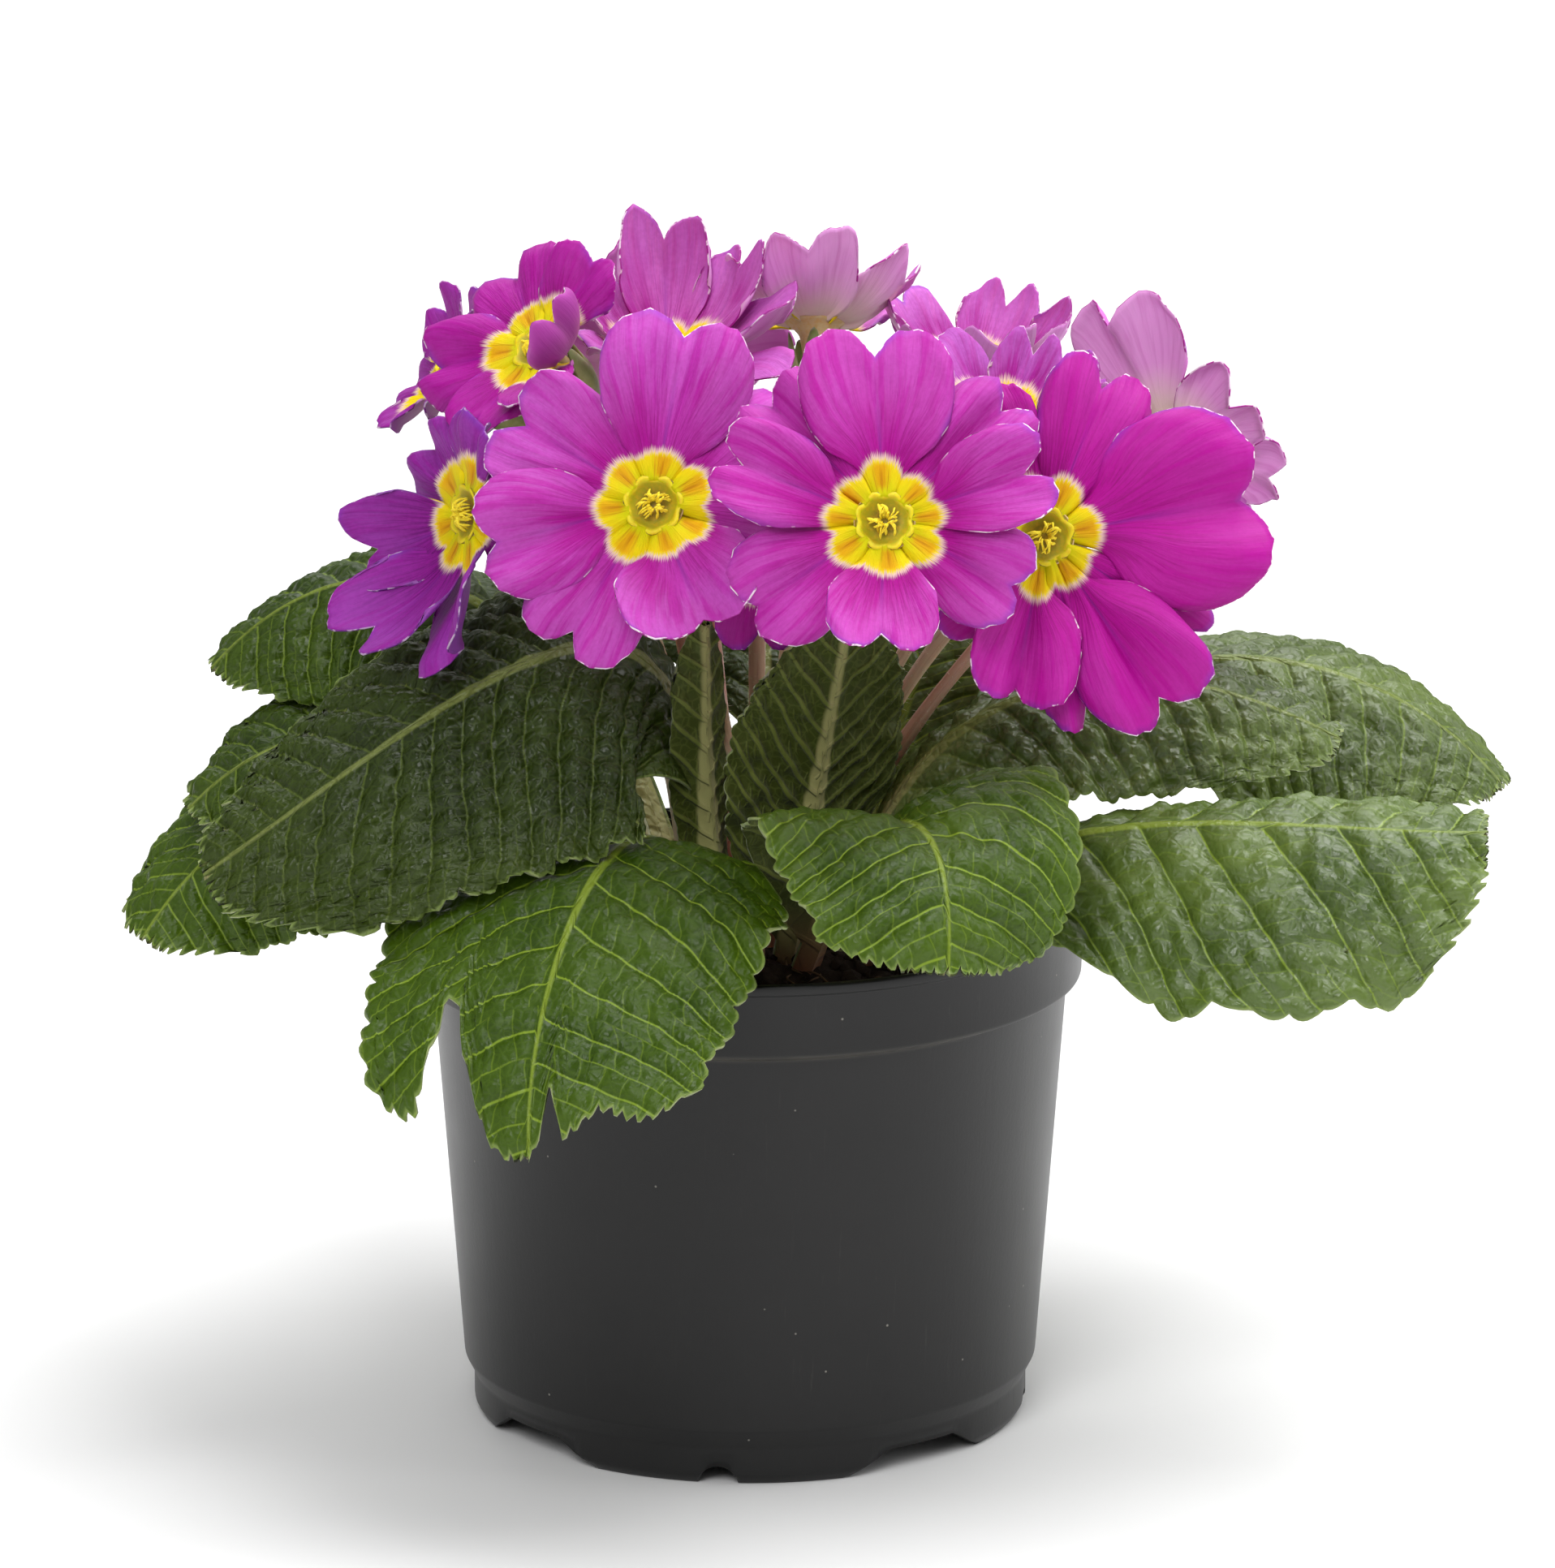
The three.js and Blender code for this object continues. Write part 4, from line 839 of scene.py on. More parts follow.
class Blade:
    """A leaf's blade about its curve. Called with row and t, it gives what add_sheet asks for."""

    def __init__(self, leaf):
        self.leaf = leaf
        self.seed = leaf["seed"]
        foot = (*leaf["root"], STEM_FOOT)
        self.curve = np.array([foot, leaf["shoulder"], leaf["arch"], leaf["tip"]], float)
        heading = unit((self.curve[3] - self.curve[0]) * (1, 1, 0))
        self.level = np.array((-heading[1], heading[0], 0))
        self.stations = np.linspace(0, 1, 201)
        self.lengths = lengths_along(bezier(self.curve, self.stations))
        self.phase = 6.3 * scatter(1.0, 0.0, self.seed)

    def vein_numbers(self, x, y):
        """Numbers that are whole on each side vein and on each cross vein, both a little bent."""
        leaf, seed = self.leaf, self.seed
        side = np.sign(x)
        u = np.abs(x)
        bent_y = y + 0.9 * np.sin(0.19 * u + 1.7 * side + seed) + 0.14 * np.sin(0.7 * u + 0.5 * y + seed)
        bent_y = bent_y + 1.1 * np.sin(0.16 * y + 2.3 * side + seed)
        bent_u = u + 1.2 * np.sin(0.27 * y + 2.1 * side + seed) + 0.25 * np.sin(1.1 * y - seed)
        lateral = (bent_y - leaf["slope"] * u - leaf["sweep"] * u * u) / leaf["lateral"]
        return lateral, bent_u / BLADE["cross"]

    def smooth_blade(self, row, t):
        """The points without crinkles, with s along the rib, x across, y along and the half-width there."""
        leaf, away = self.leaf, np.abs(t)
        teeth = BLADE["tooth_end"]
        pitch = sum(leaf["width"]) / BLADE["tooth_pitch"]
        tooth_end = teeth * np.abs(np.sin(1.25 * math.pi * t * pitch + self.seed)) - teeth / 2
        reach = leaf_reach(leaf, t) + tooth_end * smooth(away, 1.0, 0.9)
        s = np.clip(row * (1 - (1 - reach) * smooth(row, 0.35, 1)), 0, 1)
        along = tangent(self.curve, s)
        side = unit(self.level - along * (along @ self.level)[:, None])
        face = np.cross(along, side)
        roll = np.radians(mix(*leaf["roll"], s)) * smooth(s, 0.02, 0.3)
        out = side * np.cos(roll)[:, None] + face * np.sin(roll)[:, None]
        lift = face * np.cos(roll)[:, None] - side * np.sin(roll)[:, None]
        full = leaf_width(leaf, s, t)
        y = np.interp(s, self.stations, self.lengths)
        lateral, _ = self.vein_numbers(np.where(t < 0, -1, 1) * full, y)
        tooth = np.abs(np.sin(math.pi * 2 * lateral)) ** 0.7 - 0.6
        tooth += 0.5 * (np.abs(np.sin(math.pi * (0.5 + lateral))) - 0.6)
        full = full * (1 + BLADE["tooth_side"] * tooth * away**8 * smooth(s, 0.28, 0.4))
        width = full * away
        opened = smooth(s, 0.1, 0.4)
        bend = np.radians(mix(*leaf["fold"], smooth(s, 0.3, 1)) + 0.6 * leaf["curl"] * away) * opened
        ripple = leaf["wave"] * np.sin(19 * s + 2.6 * np.sign(t) + self.phase) * away * opened
        frill = leaf["frill"] * np.sin(math.pi * 1.1 * lateral + 1) * away**5 * opened
        points = bezier(self.curve, s) + out * (np.sign(t) * width * np.cos(bend))[:, None]
        points += lift * (width * (np.sin(bend) + ripple + frill))[:, None]
        return points, s, t * full, y, full

    def __call__(self, row, t):
        leaf, seed, young, step = self.leaf, self.seed, self.leaf["young"], 0.004
        points, s, x, y, full = self.smooth_blade(row, t)
        ahead, behind = np.minimum(row + step, 1), np.maximum(row - step, 0)
        left, right = np.minimum(t + step, 1), np.maximum(t - step, -1)
        along = self.smooth_blade(ahead, t)[0] - self.smooth_blade(behind, t)[0]
        across = self.smooth_blade(row, left)[0] - self.smooth_blade(row, right)[0]
        normal = unit(np.cross(along, across))
        lateral, cross = self.vein_numbers(x, y)
        q = lateral + 0.5 * (x > 0)
        number = whole(q)
        to_side = np.abs(q - number) * leaf["lateral"] * 0.85
        to_fork = (0.5 - np.abs(q - number)) * leaf["lateral"] * 0.85
        at = cross + 0.37 * number
        to_cross = np.abs(at - whole(at)) * BLADE["cross"]
        to_edge = np.minimum((1 - np.abs(t)) * full, (1 - row) * self.lengths[-1] * 0.5)
        bulge = CRINKLE["side"] * (1 - near(to_side, 1.25))
        bulge -= CRINKLE["fork"] * smooth(to_edge, 14, 6) * near(to_fork, 0.8)
        bulge += mix(*CRINKLE["cross"], young) * (1 - near(to_cross, 0.9))
        cell = (scatter(number, whole(at), seed) - 0.4) * (1 - near(to_cross, 1.3))
        bulge += mix(*CRINKLE["cell"], young) * cell * (1 - near(to_side, 1.4))
        bulge += mix(*CRINKLE["lump"], young) * lumps(0.4 * x + 3 * seed, 0.4 * y, seed)
        rough = leaf["rough"] * smooth(s, 0.14, 0.34) * smooth(full - np.abs(x), -0.2, 2.0)
        rib_half = mix(2.2, 0.5, smooth(s, 0.1, 0.95)) * (1 - 0.45 * young)
        channel = near(x, rib_half + 1.4)
        relief = rough * (bulge - CRINKLE["middle"]) * (1 - channel)
        relief -= CRINKLE["channel"] * channel * smooth(s, 0.1, 0.3)
        relief += CRINKLE["rib"] * near(x, rib_half) + CRINKLE["above"]
        under_rib = near(x, 0.8 * rib_half + 0.4) * mix(0.84, 0.1, smooth(s, 0.08, 0.8))
        thickness = 0.16 + 0.14 * near(to_side, 0.4) * smooth(s, 0.15, 0.3) + under_rib
        return points + normal * relief[:, None], {
            "vein": (lateral, cross, x),
            "blade": (s, to_edge, np.full_like(s, young)),
            "spacing": (leaf["lateral"], leaf["light"], 0),
            "thickness": np.clip(thickness, 0, 1),
        }


def make_leaves(settings):
    """One blade for each leaf, with its stalk. The leaves with the most painted sheen ("light") also shine
    more than the rest.
    """
    others = (leaf_under(settings), leaf_margin())
    dull = (leaf_top(settings, "leaf_top", 0.26), *others)
    glossy = (leaf_top(settings, "leaf_top_glossy", 0.62), *others)
    for own in LEAVES:
        leaf = {**LEAF, "rough": mix(1.8, 1.0, own["young"]), **own}
        small = sum(leaf["width"]) < 30
        columns = 40 if small else settings.leaf_columns + (16 if leaf["cuts"] else 0)
        rows = 70 if small else settings.leaf_rows
        bm = new_mesh("vein", "blade", "spacing", "thickness")
        add_sheet(bm, columns, rows, Blade(leaf))
        materials = glossy if leaf["light"] > 0.5 else dull
        piece = finish_piece("blade_" + leaf["name"], bm, materials, ["leaf_" + leaf["name"]])
        thicken(piece, BLADE["thickness"], varied=True)


# ---- Blooms ----


class BloomFrame:
    """A bloom's own axes: up, right as seen from in front of it, and the way it faces."""

    def __init__(self, bloom):
        a, e = math.radians(bloom["azimuth"]), math.radians(bloom["elevation"])
        self.eye = np.array(bloom["eye"], float)
        self.up = np.array((-math.sin(e) * math.sin(a), math.sin(e) * math.cos(a), math.cos(e)))
        self.right = np.array((math.cos(a), math.sin(a), 0))
        self.face = np.array((math.sin(a) * math.cos(e), -math.cos(a) * math.cos(e), math.sin(e)))

    def at(self, angle, radius, height):
        """Points at a clock angle and a radius round the eye, and a height in front of it."""
        angle, radius, height = np.broadcast_arrays(angle, radius, height)
        return (self.eye + self.up * (radius * np.cos(angle))[..., None]
                + self.right * (radius * np.sin(angle))[..., None] + self.face * height[..., None])


def neighbour(bloom, k, step):
    """Half the free angle to the next petal on one side, and 1 if this petal lies above it, or -1."""
    petals = bloom["petals"]
    other = petals[(k + step) % len(petals)]
    angle = (step * (other[0] - petals[k][0])) % 360 / 2
    lead = petals[k][3] - other[3]
    return angle, (-step if abs(lead) < 0.01 else math.copysign(1, lead))


def petal_folds(k, seed, s, t):
    """Height of the creases and ruffles of petal k, as a share of its length."""
    away = np.abs(t)
    crease = -PETAL["crease"] * s * near(t, 0.2)
    waver = PETAL["waver"] * np.sin(2.6 * t + 2.1 * k) * s * s
    pleat = PETAL["pleat"] * np.sin(7 * t + seed) * smooth(s, 0.1, 0.7)
    puff = PETAL["puff"] * smooth(s, 0.15, 0.8) * np.sin(math.pi * np.minimum(away / 0.95, 1))
    ripple = PETAL["ripple"] * np.sin(5 * s + seed) * np.sin(4 * t + seed) * s
    ruffle = PETAL["ruffle"] * np.sin(9.5 * t + 1.3 * seed) * smooth(s, 0.55, 1.0) ** 2
    hem = PETAL["hem"] * math.sin(1.9 * seed) * np.maximum(0, np.maximum(s - 0.8, 0.4 * (away - 0.75)))
    droop = PETAL["droop"] * (away**5 + smooth(s, 0.8, 1.0) ** 2)
    return crease + waver + pleat + puff * (1 - 0.4 * s * s) + ripple + ruffle + hem - droop


def petal_shape(bloom, k, s, t):
    """Clock angle, radius, height and distance to the margin of a petal at s along it and t across it."""
    clock, length, spread, tilt = bloom["petals"][k]
    seed = 3.1 * k + bloom["eye"][0]
    away = np.abs(t)
    start = math.radians(min(max(tilt * 0.25, -4), 8))
    turn = math.radians(tilt) * 1.5 - start
    turn = turn if abs(turn) > 1e-3 else 1e-3
    left, right = neighbour(bloom, k, -1), neighbour(bloom, k, 1)
    angle = np.where(t > 0, left[0], right[0])
    above = np.where(t > 0, left[1], right[1])
    frill = 0.006 * np.sin(31 * t + seed) + 0.005 * np.sin(57 * t + 2 * seed)
    notch = PETAL["notch"] * (1 + 0.25 * math.sin(seed)) * np.exp(-np.abs(t / PETAL["notch_width"]) ** 1.3)
    tip = length * (1 + 0.012 - notch - PETAL["shoulder"] * away**3.4 + frill * smooth(s, 0.3, 1))
    run = tip - PETAL["root"]
    radius = PETAL["root"] + run * (np.sin(start + turn * s) - math.sin(start)) / turn
    rise = -run * (np.cos(start + turn * s) - math.cos(start)) / turn
    half = mix(np.minimum(angle * 1.1, spread), spread, smooth(s, 0.16, 0.6))
    half = half * (1 - 0.1 * smooth(s, 0.75, 1.05))
    lap = PETAL["lap"] * above * away * smooth(s, 0.12, 0.5)
    sink = PETAL["sink"] * (1 - smooth(s, 0.16, 0.42)) * smooth(away, 0.76, 1.0)
    edge = np.minimum((1 - s) * run, (1 - away) * np.radians(half) * np.maximum(radius, 1))
    return clock - half * t, radius, rise + lap - sink + length * petal_folds(k, seed, s, t), edge


def eye_star(bloom, clock):
    """The radius of the yellow eye at a clock angle, and how far that is from a lobe's middle, 0 to 1."""
    lobes = bloom.get("lobes") or [petal[0] for petal in bloom["petals"]]
    marks = np.array([*lobes, lobes[0] + 360], float)
    turned = (np.asarray(clock, float) - marks[0]) % 360 + marks[0]
    share = np.interp(turned, marks, np.arange(len(marks)))
    off = np.abs(share - whole(share)) * 2
    lobe = EYE["lobe"] + EYE["uneven"] * np.sin(2.3 * (whole(share) % len(lobes)) + bloom["eye"][0])
    return EYE["valley"] + (lobe - EYE["valley"]) * (1 - 0.12 * off) * (1 - np.clip(off, 0, 1) ** 2.5), off


def make_petals(bloom, materials, settings):
    """The ring of petals with the yellow eye on them, as one sheet for each petal."""
    here = BloomFrame(bloom)
    bm = new_mesh("petal", "eye", "tint")
    for k, (_, length, _, _) in enumerate(bloom["petals"]):
        inner = (PETAL["inner"] - PETAL["root"]) / (length - PETAL["root"])

        def surface(row, t):
            s = mix(inner, 1.0, row**1.15)
            place = np.sign(t) * np.abs(t) ** 0.85
            clock, radius, height, edge = petal_shape(bloom, k, s, place)
            star, off = eye_star(bloom, clock)
            fold = (0.5 * off**2 - 0.15) * near(radius - EYE["fold_at"], EYE["fold_width"])
            return here.at(np.radians(clock), radius, height + fold + PETAL["above"]), {
                "petal": (s, place, edge),
                "eye": (radius / star, off, radius),
                "tint": (bloom["violet"], bloom["pale"], 0.1 * k + 0.03 * bloom["eye"][0]),
            }

        add_sheet(bm, settings.petal_columns, settings.petal_rows, surface)
    piece = finish_piece("corolla_" + bloom["name"], bm, materials, ["petals_" + bloom["name"]])
    thicken(piece, PETAL["thickness"])


def make_throat(bloom, material):
    """The folded yellow ring round the mouth, and the tube below it."""
    here = BloomFrame(bloom)
    count = len(bloom.get("lobes") or bloom["petals"])
    bm = new_mesh("throat")
    profile = np.array(rounded(THROAT, 0.5, 2))
    lengths = lengths_along(profile)
    brim = lengths[np.argmax(profile[:, 0])]

    def surface(s, t):
        station = s * lengths[-1]
        radius = np.interp(station, lengths, profile[:, 0])
        height = np.interp(station, lengths, profile[:, 1])
        angle = math.pi * t
        fold = np.cos(count * angle)
        ring = near(radius - RING["radius"], RING["width"]) * (station > brim)
        inward = np.where(station > brim - 0.01, 6.0 - radius, 9.0)
        radius = radius * (1 - RING["pinch"] * ring * fold)
        return here.at(angle, radius, height + ring * (RING["lift"] - RING["fold"] * fold)), {
            "throat": (inward, t, fold)}

    add_round(bm, 48, 40, surface)
    finish_piece("throat_" + bloom["name"], bm, [material], ["eye_" + bloom["name"]],
                 recalculate=True)


def make_anthers(bloom, material):
    """The curled anthers in the mouth."""
    here = BloomFrame(bloom)
    rng = random.Random(bloom["name"])
    bm = bmesh.new()
    for k in range(ANTHER["count"]):
        turn = math.tau * k / ANTHER["count"] + rng.uniform(-0.15, 0.15)
        lean = rng.uniform(0.55, 1.2)
        top = rng.uniform(0.6, 1.4)
        twist = rng.uniform(-1.1, 1.1)

        def surface(s, t):
            blunt = np.sqrt(np.maximum(0, 1 - (2 * s - 1) ** 6))
            thick = ANTHER["radius"] * blunt * (1 + 0.25 * np.sin(14 * s + turn))
            height = (1.3 + top) * np.sin(math.pi * (0.12 + 0.8 * s)) - ANTHER["sunk"]
            centre = here.at(turn + twist * s, ANTHER["foot"] + ANTHER["reach"] * lean * s, height)
            angle = math.pi * t
            outward = (here.up * np.cos(angle)[:, None] + here.face * np.sin(angle)[:, None]
                       + here.right * np.cos(angle + 0.8)[:, None]) * 0.8
            return centre + outward * thick[:, None], {}

        add_round(bm, 6, 8, surface)
    finish_piece("anthers_" + bloom["name"], bm, [material], recalculate=True)


def stalk_curve(bloom):
    """The stalk's cubic curve from the compost to the foot of the calyx."""
    here = BloomFrame(bloom)
    end = here.at(0, 0, -STALK["calyx_top"] - STALK["calyx_length"])
    foot = np.array((*(bloom.get("root") or end[:2] * STALK["spread"]), STEM_FOOT), float)
    rise = np.array((0, 0, (end[2] - foot[2]) * STALK["upright"]))
    return np.array((foot, foot + rise, end - here.face * STALK["neck"], end))


def add_stem(bm, bloom, index):
    """A slightly uneven round stalk with closed ends. Some stalks are pinker than others."""
    here, curve = BloomFrame(bloom), stalk_curve(bloom)
    pink = 0.5 + 0.5 * math.sin(1.7 * index)

    def surface(s, t):
        run = np.clip(s * 1.06 - 0.03, 0, 1)
        close = np.clip(np.minimum(s, 1 - s) / 0.03, 0, 1) ** 0.5
        aside = unit(np.cross(tangent(curve, run), here.right))
        angle = math.pi * t
        radius = (STALK["radius"] + 0.08 * np.sin(30 * run + index)) * close
        return (bezier(curve, run) + here.right * (radius * np.cos(angle))[:, None]
                + aside * (radius * np.sin(angle))[:, None]), {"stalk": (run, t, pink)}

    add_round(bm, 12, 40, surface)


def add_calyx(bm, bloom):
    """A bell with a tooth on each rib: up its outside in the first half of s, and back down inside."""
    here = BloomFrame(bloom)
    foot = -STALK["calyx_top"] - STALK["calyx_length"]

    def surface(s, t):
        angle = math.pi * t
        tooth = np.abs(np.cos(CALYX["ribs"] / 2 * angle))
        top = mix(CALYX["cleft"], CALYX["tip"], tooth**1.6)
        outside = s <= 0.5
        outer, back = np.clip(s / 0.5, 0, 1), np.clip((s - 0.5) / 0.5, 0, 1)
        height = np.where(outside, mix(foot - 0.6, top, outer), mix(top, foot + 2.2, back))
        up = (height - foot) / (CALYX["tip"] - foot)
        bell = CALYX["foot_radius"] + CALYX["bell"] * smooth(up, -0.05, 0.45)
        ridged = (bell + CALYX["flare"] * smooth(up, 0.5, 1.0)) * (1 + CALYX["rib"] * (tooth - 0.6))
        inside = (ridged - CALYX["wall"]) * (1 - back**6)
        radius = np.where(outside, ridged * smooth(outer, -0.02, 0.03), inside)
        return here.at(angle, np.maximum(radius, 0), height), {"stalk": (np.clip(up, 0, 1), tooth**4, s)}

    add_round(bm, 50, 26, surface)


def add_hairs(bm, bloom):
    """Short hairs all over the stalk."""
    here, curve = BloomFrame(bloom), stalk_curve(bloom)
    rng = random.Random("hair" + bloom["name"])
    for _ in range(HAIR["count"]):
        s, angle = rng.uniform(0.1, 0.97), rng.uniform(0, math.tau)
        along = tangent(curve, s)
        out = here.right * math.cos(angle) + unit(np.cross(along, here.right)) * math.sin(angle)
        foot = bezier(curve, s) + out * STALK["radius"] * 0.9
        direction = out + 0.5 * along * rng.uniform(-1, 1)
        add_spike(bm, foot, direction, rng.uniform(HAIR["shortest"], HAIR["longest"]), HAIR["radius"])


def make_stalk(bloom, materials, index):
    """The stalk with its calyx and hairs, in their three materials."""
    bm = new_mesh("stalk")
    add_stem(bm, bloom, index)
    calyx_from = len(bm.faces)
    add_calyx(bm, bloom)
    paint(bm, calyx_from, 1)
    hairs_from = len(bm.faces)
    add_hairs(bm, bloom)
    paint(bm, hairs_from, 2)
    finish_piece("stem_" + bloom["name"], bm, materials, ["stalk_" + bloom["name"]],
                 recalculate=True)


def make_blooms(settings):
    """Each bloom's petals, throat, anthers and stalk."""
    petals = (petal_front(settings), petal_back(settings), petal_rim())
    throat, anther = throat_colour(), anther_colour()
    stalks = (stalk_colour(), calyx_colour(), hair_colour())
    for index, bloom in enumerate(BLOOMS):
        make_petals(bloom, petals, settings)
        make_throat(bloom, throat)
        make_anthers(bloom, anther)
        make_stalk(bloom, stalks, index)


# ---- Compost ----


def soil_height(radius, angle):
    """Height of the compost, which rises to the crown of the plant and is uneven round it."""
    wave = np.sin(radius * 0.31 + 2 * np.sin(3 * angle)) * np.sin(5 * angle + radius * 0.17)
    fade = smooth(radius, 2, 16) * (1 - smooth(radius, 42, 48))
    crown = SOIL["crown_rise"] * (1 - smooth(radius, 12, 34))
    return SOIL["top"] + crown - 0.5 + SOIL["lump"] * 0.5 * wave * fade


def make_bed(settings):
    """The body of the compost, shaped like the inside of the pot and crumbly on top."""
    shoulder = POT["height"] - POT["collar_drop"] - 4
    floor = POT["floor_thick"] + SOIL["gap"]
    bottom = POT["floor_top"] + 1 + SOIL["gap"]

    def wall_at(z):
        share = (z - POT["floor_top"] - 1) / (shoulder - POT["floor_top"] + 2)
        radius = mix(POT["body_foot_radius"], POT["body_top_radius"], share)
        return radius - POT["wall"] - SOIL["gap"] - SOIL["facet"]

    pad = POT["pad_radius"] - POT["pad_wall"] - SOIL["gap"]
    side = [(0.0, floor), (pad, floor), (pad + POT["pad_slope"], bottom), (wall_at(bottom), bottom),
            (wall_at(shoulder), shoulder), (wall_at(shoulder) - 0.2, SOIL["top"] - 1.6)]
    top = [(radius, SOIL["top"]) for radius in np.linspace(wall_at(shoulder) - 0.7, 0.0, 64)]
    bm = bmesh.new()
    lathe(bm, 170, side + top)
    for vert in bm.verts:
        if vert.co.z > SOIL["top"] - 0.01:
            x, y = vert.co.x, vert.co.y
            crumb = 0.8 * lumps(x / 2.6, y / 2.6, 3) + 0.45 * lumps(x / 1.1, y / 1.1, 5)
            vert.co.z = float(soil_height(math.hypot(x, y), math.atan2(y, x)) + crumb)
    finish_piece("compost_bed", bm, [compost_colour(settings)], ["compost"])


def make_crumbs(settings, rng):
    """Loose lumps of peat, each a squashed and shaken ball."""
    bm = bmesh.new()
    for _ in range(settings.crumbs):
        radius = CRUMB["spread"] * math.sqrt(rng.random())
        angle = rng.uniform(0, math.tau)
        size = rng.choice(CRUMB["sizes"])
        height = float(soil_height(radius, angle)) + 0.3 * size
        spot = Matrix.Translation((radius * math.cos(angle), radius * math.sin(angle), height))
        shape = Matrix.Diagonal((rng.uniform(0.7, 1.5), rng.uniform(0.7, 1.3), rng.uniform(0.5, 1.0), 1))
        turn = Matrix.Rotation(rng.uniform(0, math.tau), 4, Vector((rng.random(), rng.random(), 1)))
        made = bmesh.ops.create_icosphere(bm, subdivisions=1, radius=size, matrix=spot @ turn @ shape)
        for vert in made["verts"]:
            vert.co += Vector([rng.uniform(-CRUMB["uneven"], CRUMB["uneven"]) for _ in range(3)]) * size
    finish_piece("compost_crumbs", bm, [compost_colour(settings)])


def make_fibres(rng):
    """Bowed strands that lie on the compost."""
    bm = bmesh.new()
    for _ in range(FIBRE["count"]):
        radius = FIBRE["spread"] * math.sqrt(rng.random())
        angle, heading = rng.uniform(0, math.tau), rng.uniform(0, math.tau)
        length = rng.uniform(FIBRE["shortest"], FIBRE["longest"])
        bow = rng.uniform(-FIBRE["bow"], FIBRE["bow"])
        middle = np.array((radius * math.cos(angle), radius * math.sin(angle)))
        ahead = np.array((math.cos(heading), math.sin(heading)))
        aside = np.array((-ahead[1], ahead[0]))

        def surface(s, t):
            flat = middle + ahead * (length * (s - 0.5))[:, None]
            flat = flat + aside * (bow * np.sin(math.pi * s))[:, None]
            away = np.hypot(flat[:, 0], flat[:, 1])
            flat = flat * np.minimum(1, FIBRE["reach"] / np.maximum(away, 1))[:, None]
            ground = soil_height(np.hypot(flat[:, 0], flat[:, 1]), np.arctan2(flat[:, 1], flat[:, 0]))
            thick = FIBRE["radius"] * np.sin(math.pi * np.clip(s, 0, 1)) ** 0.3
            turn = math.pi * t
            up = ground + 0.75 + 0.4 * np.sin(5 * s + heading) + thick * np.sin(turn)
            return np.column_stack((flat + aside * (thick * np.cos(turn))[:, None], up)), {}

        add_round(bm, 4, 6, surface)
    finish_piece("compost_fibres", bm, [fibre_colour()], recalculate=True)


def make_compost(settings):
    """The bed of peat, with the crumbs and fibres that lie on it."""
    rng = random.Random(11)
    make_bed(settings)
    make_crumbs(settings, rng)
    make_fibres(rng)


# ---- Pot ----


def foot_cut(angle):
    """How far up the foot ring is cut away at an angle: the arches between feet, and a notch in each."""
    p = POT
    period = math.tau / p["feet"]
    from_foot = (angle - FIRST_FOOT + period / 2) % period - period / 2
    from_gap = (angle - FIRST_FOOT) % period - period / 2
    flat, slope = math.radians(p["arch_angle"] / 2), math.radians(p["foot_slope"])
    arch = p["arch_height"] * np.clip((flat + slope - np.abs(from_gap)) / slope, 0, 1)
    across = p["foot_radius"] * np.sin(from_foot)
    notch = np.sqrt(np.maximum(0, p["notch_radius"] ** 2 - across**2))
    return np.maximum(arch, notch)


def pot_profile():
    """(radius, height) from the middle of the underside out, up to the rim and back down inside."""
    p = POT
    foot, body, top, rim = p["foot_radius"], p["body_foot_radius"], p["body_top_radius"], p["rim_radius"]
    pad, pad_foot, pad_wall = p["pad_radius"], p["pad_radius"] + p["pad_slope"], p["pad_wall"]
    height, body_foot, wall, proud = p["height"], p["body_foot_height"], p["wall"], p["lip_proud"]
    collar, lip = height - p["collar_drop"], height - p["lip_drop"]
    floor, floor_under = p["floor_top"], p["floor_top"] - p["floor_thick"]
    return [
        (0, 0), (pad, 0), (pad_foot, floor_under), (foot - 2.2, floor_under), (foot - 1.9, 0),
        (foot - 0.9, 0), (foot, 1.4), (foot, p["foot_height"]), (body, body_foot),
        (body + 0.05, body_foot + 0.6), (top, collar - 0.6), (rim - 0.5, collar),
        (rim - 0.45, collar + 0.9), (rim - proud, lip),
        (rim, lip + 0.3), (rim, height - 0.2), (rim - 0.3, height), (rim - wall - 0.4, height),
        (rim - wall - proud, collar + 1.2), (top - wall, collar - 1.2), (body - wall, floor + 1),
        (pad_foot - pad_wall, floor), (pad - pad_wall, p["floor_thick"]), (0, p["floor_thick"]),
    ]


def drill_drains(pot):
    """Cuts a drain hole through the floor between each two feet."""
    p = POT
    bm = bmesh.new()
    for k in range(p["feet"]):
        angle = FIRST_FOOT + math.tau * (k + 0.5) / p["feet"]
        spot = (p["drain_circle"] * math.cos(angle), p["drain_circle"] * math.sin(angle),
                p["floor_top"] - p["floor_thick"])
        bmesh.ops.create_cone(bm, cap_ends=True, segments=40, radius1=p["drain_radius"],
                              radius2=p["drain_radius"], depth=8, matrix=Matrix.Translation(spot))
    cutter = add_object("drain_cutter", mesh_of("drain_cutter", bm))
    drill = pot.modifiers.new("Drains", "BOOLEAN")
    drill.object = cutter
    drill.operation = "DIFFERENCE"
    drill.solver = "EXACT"
    bpy.context.view_layer.update()
    cut = bpy.data.meshes.new_from_object(pot.evaluated_get(bpy.context.evaluated_depsgraph_get()))
    pot.modifiers.clear()
    pot.data = cut
    cut.name = "nursery_pot"
    bpy.data.objects.remove(cutter)


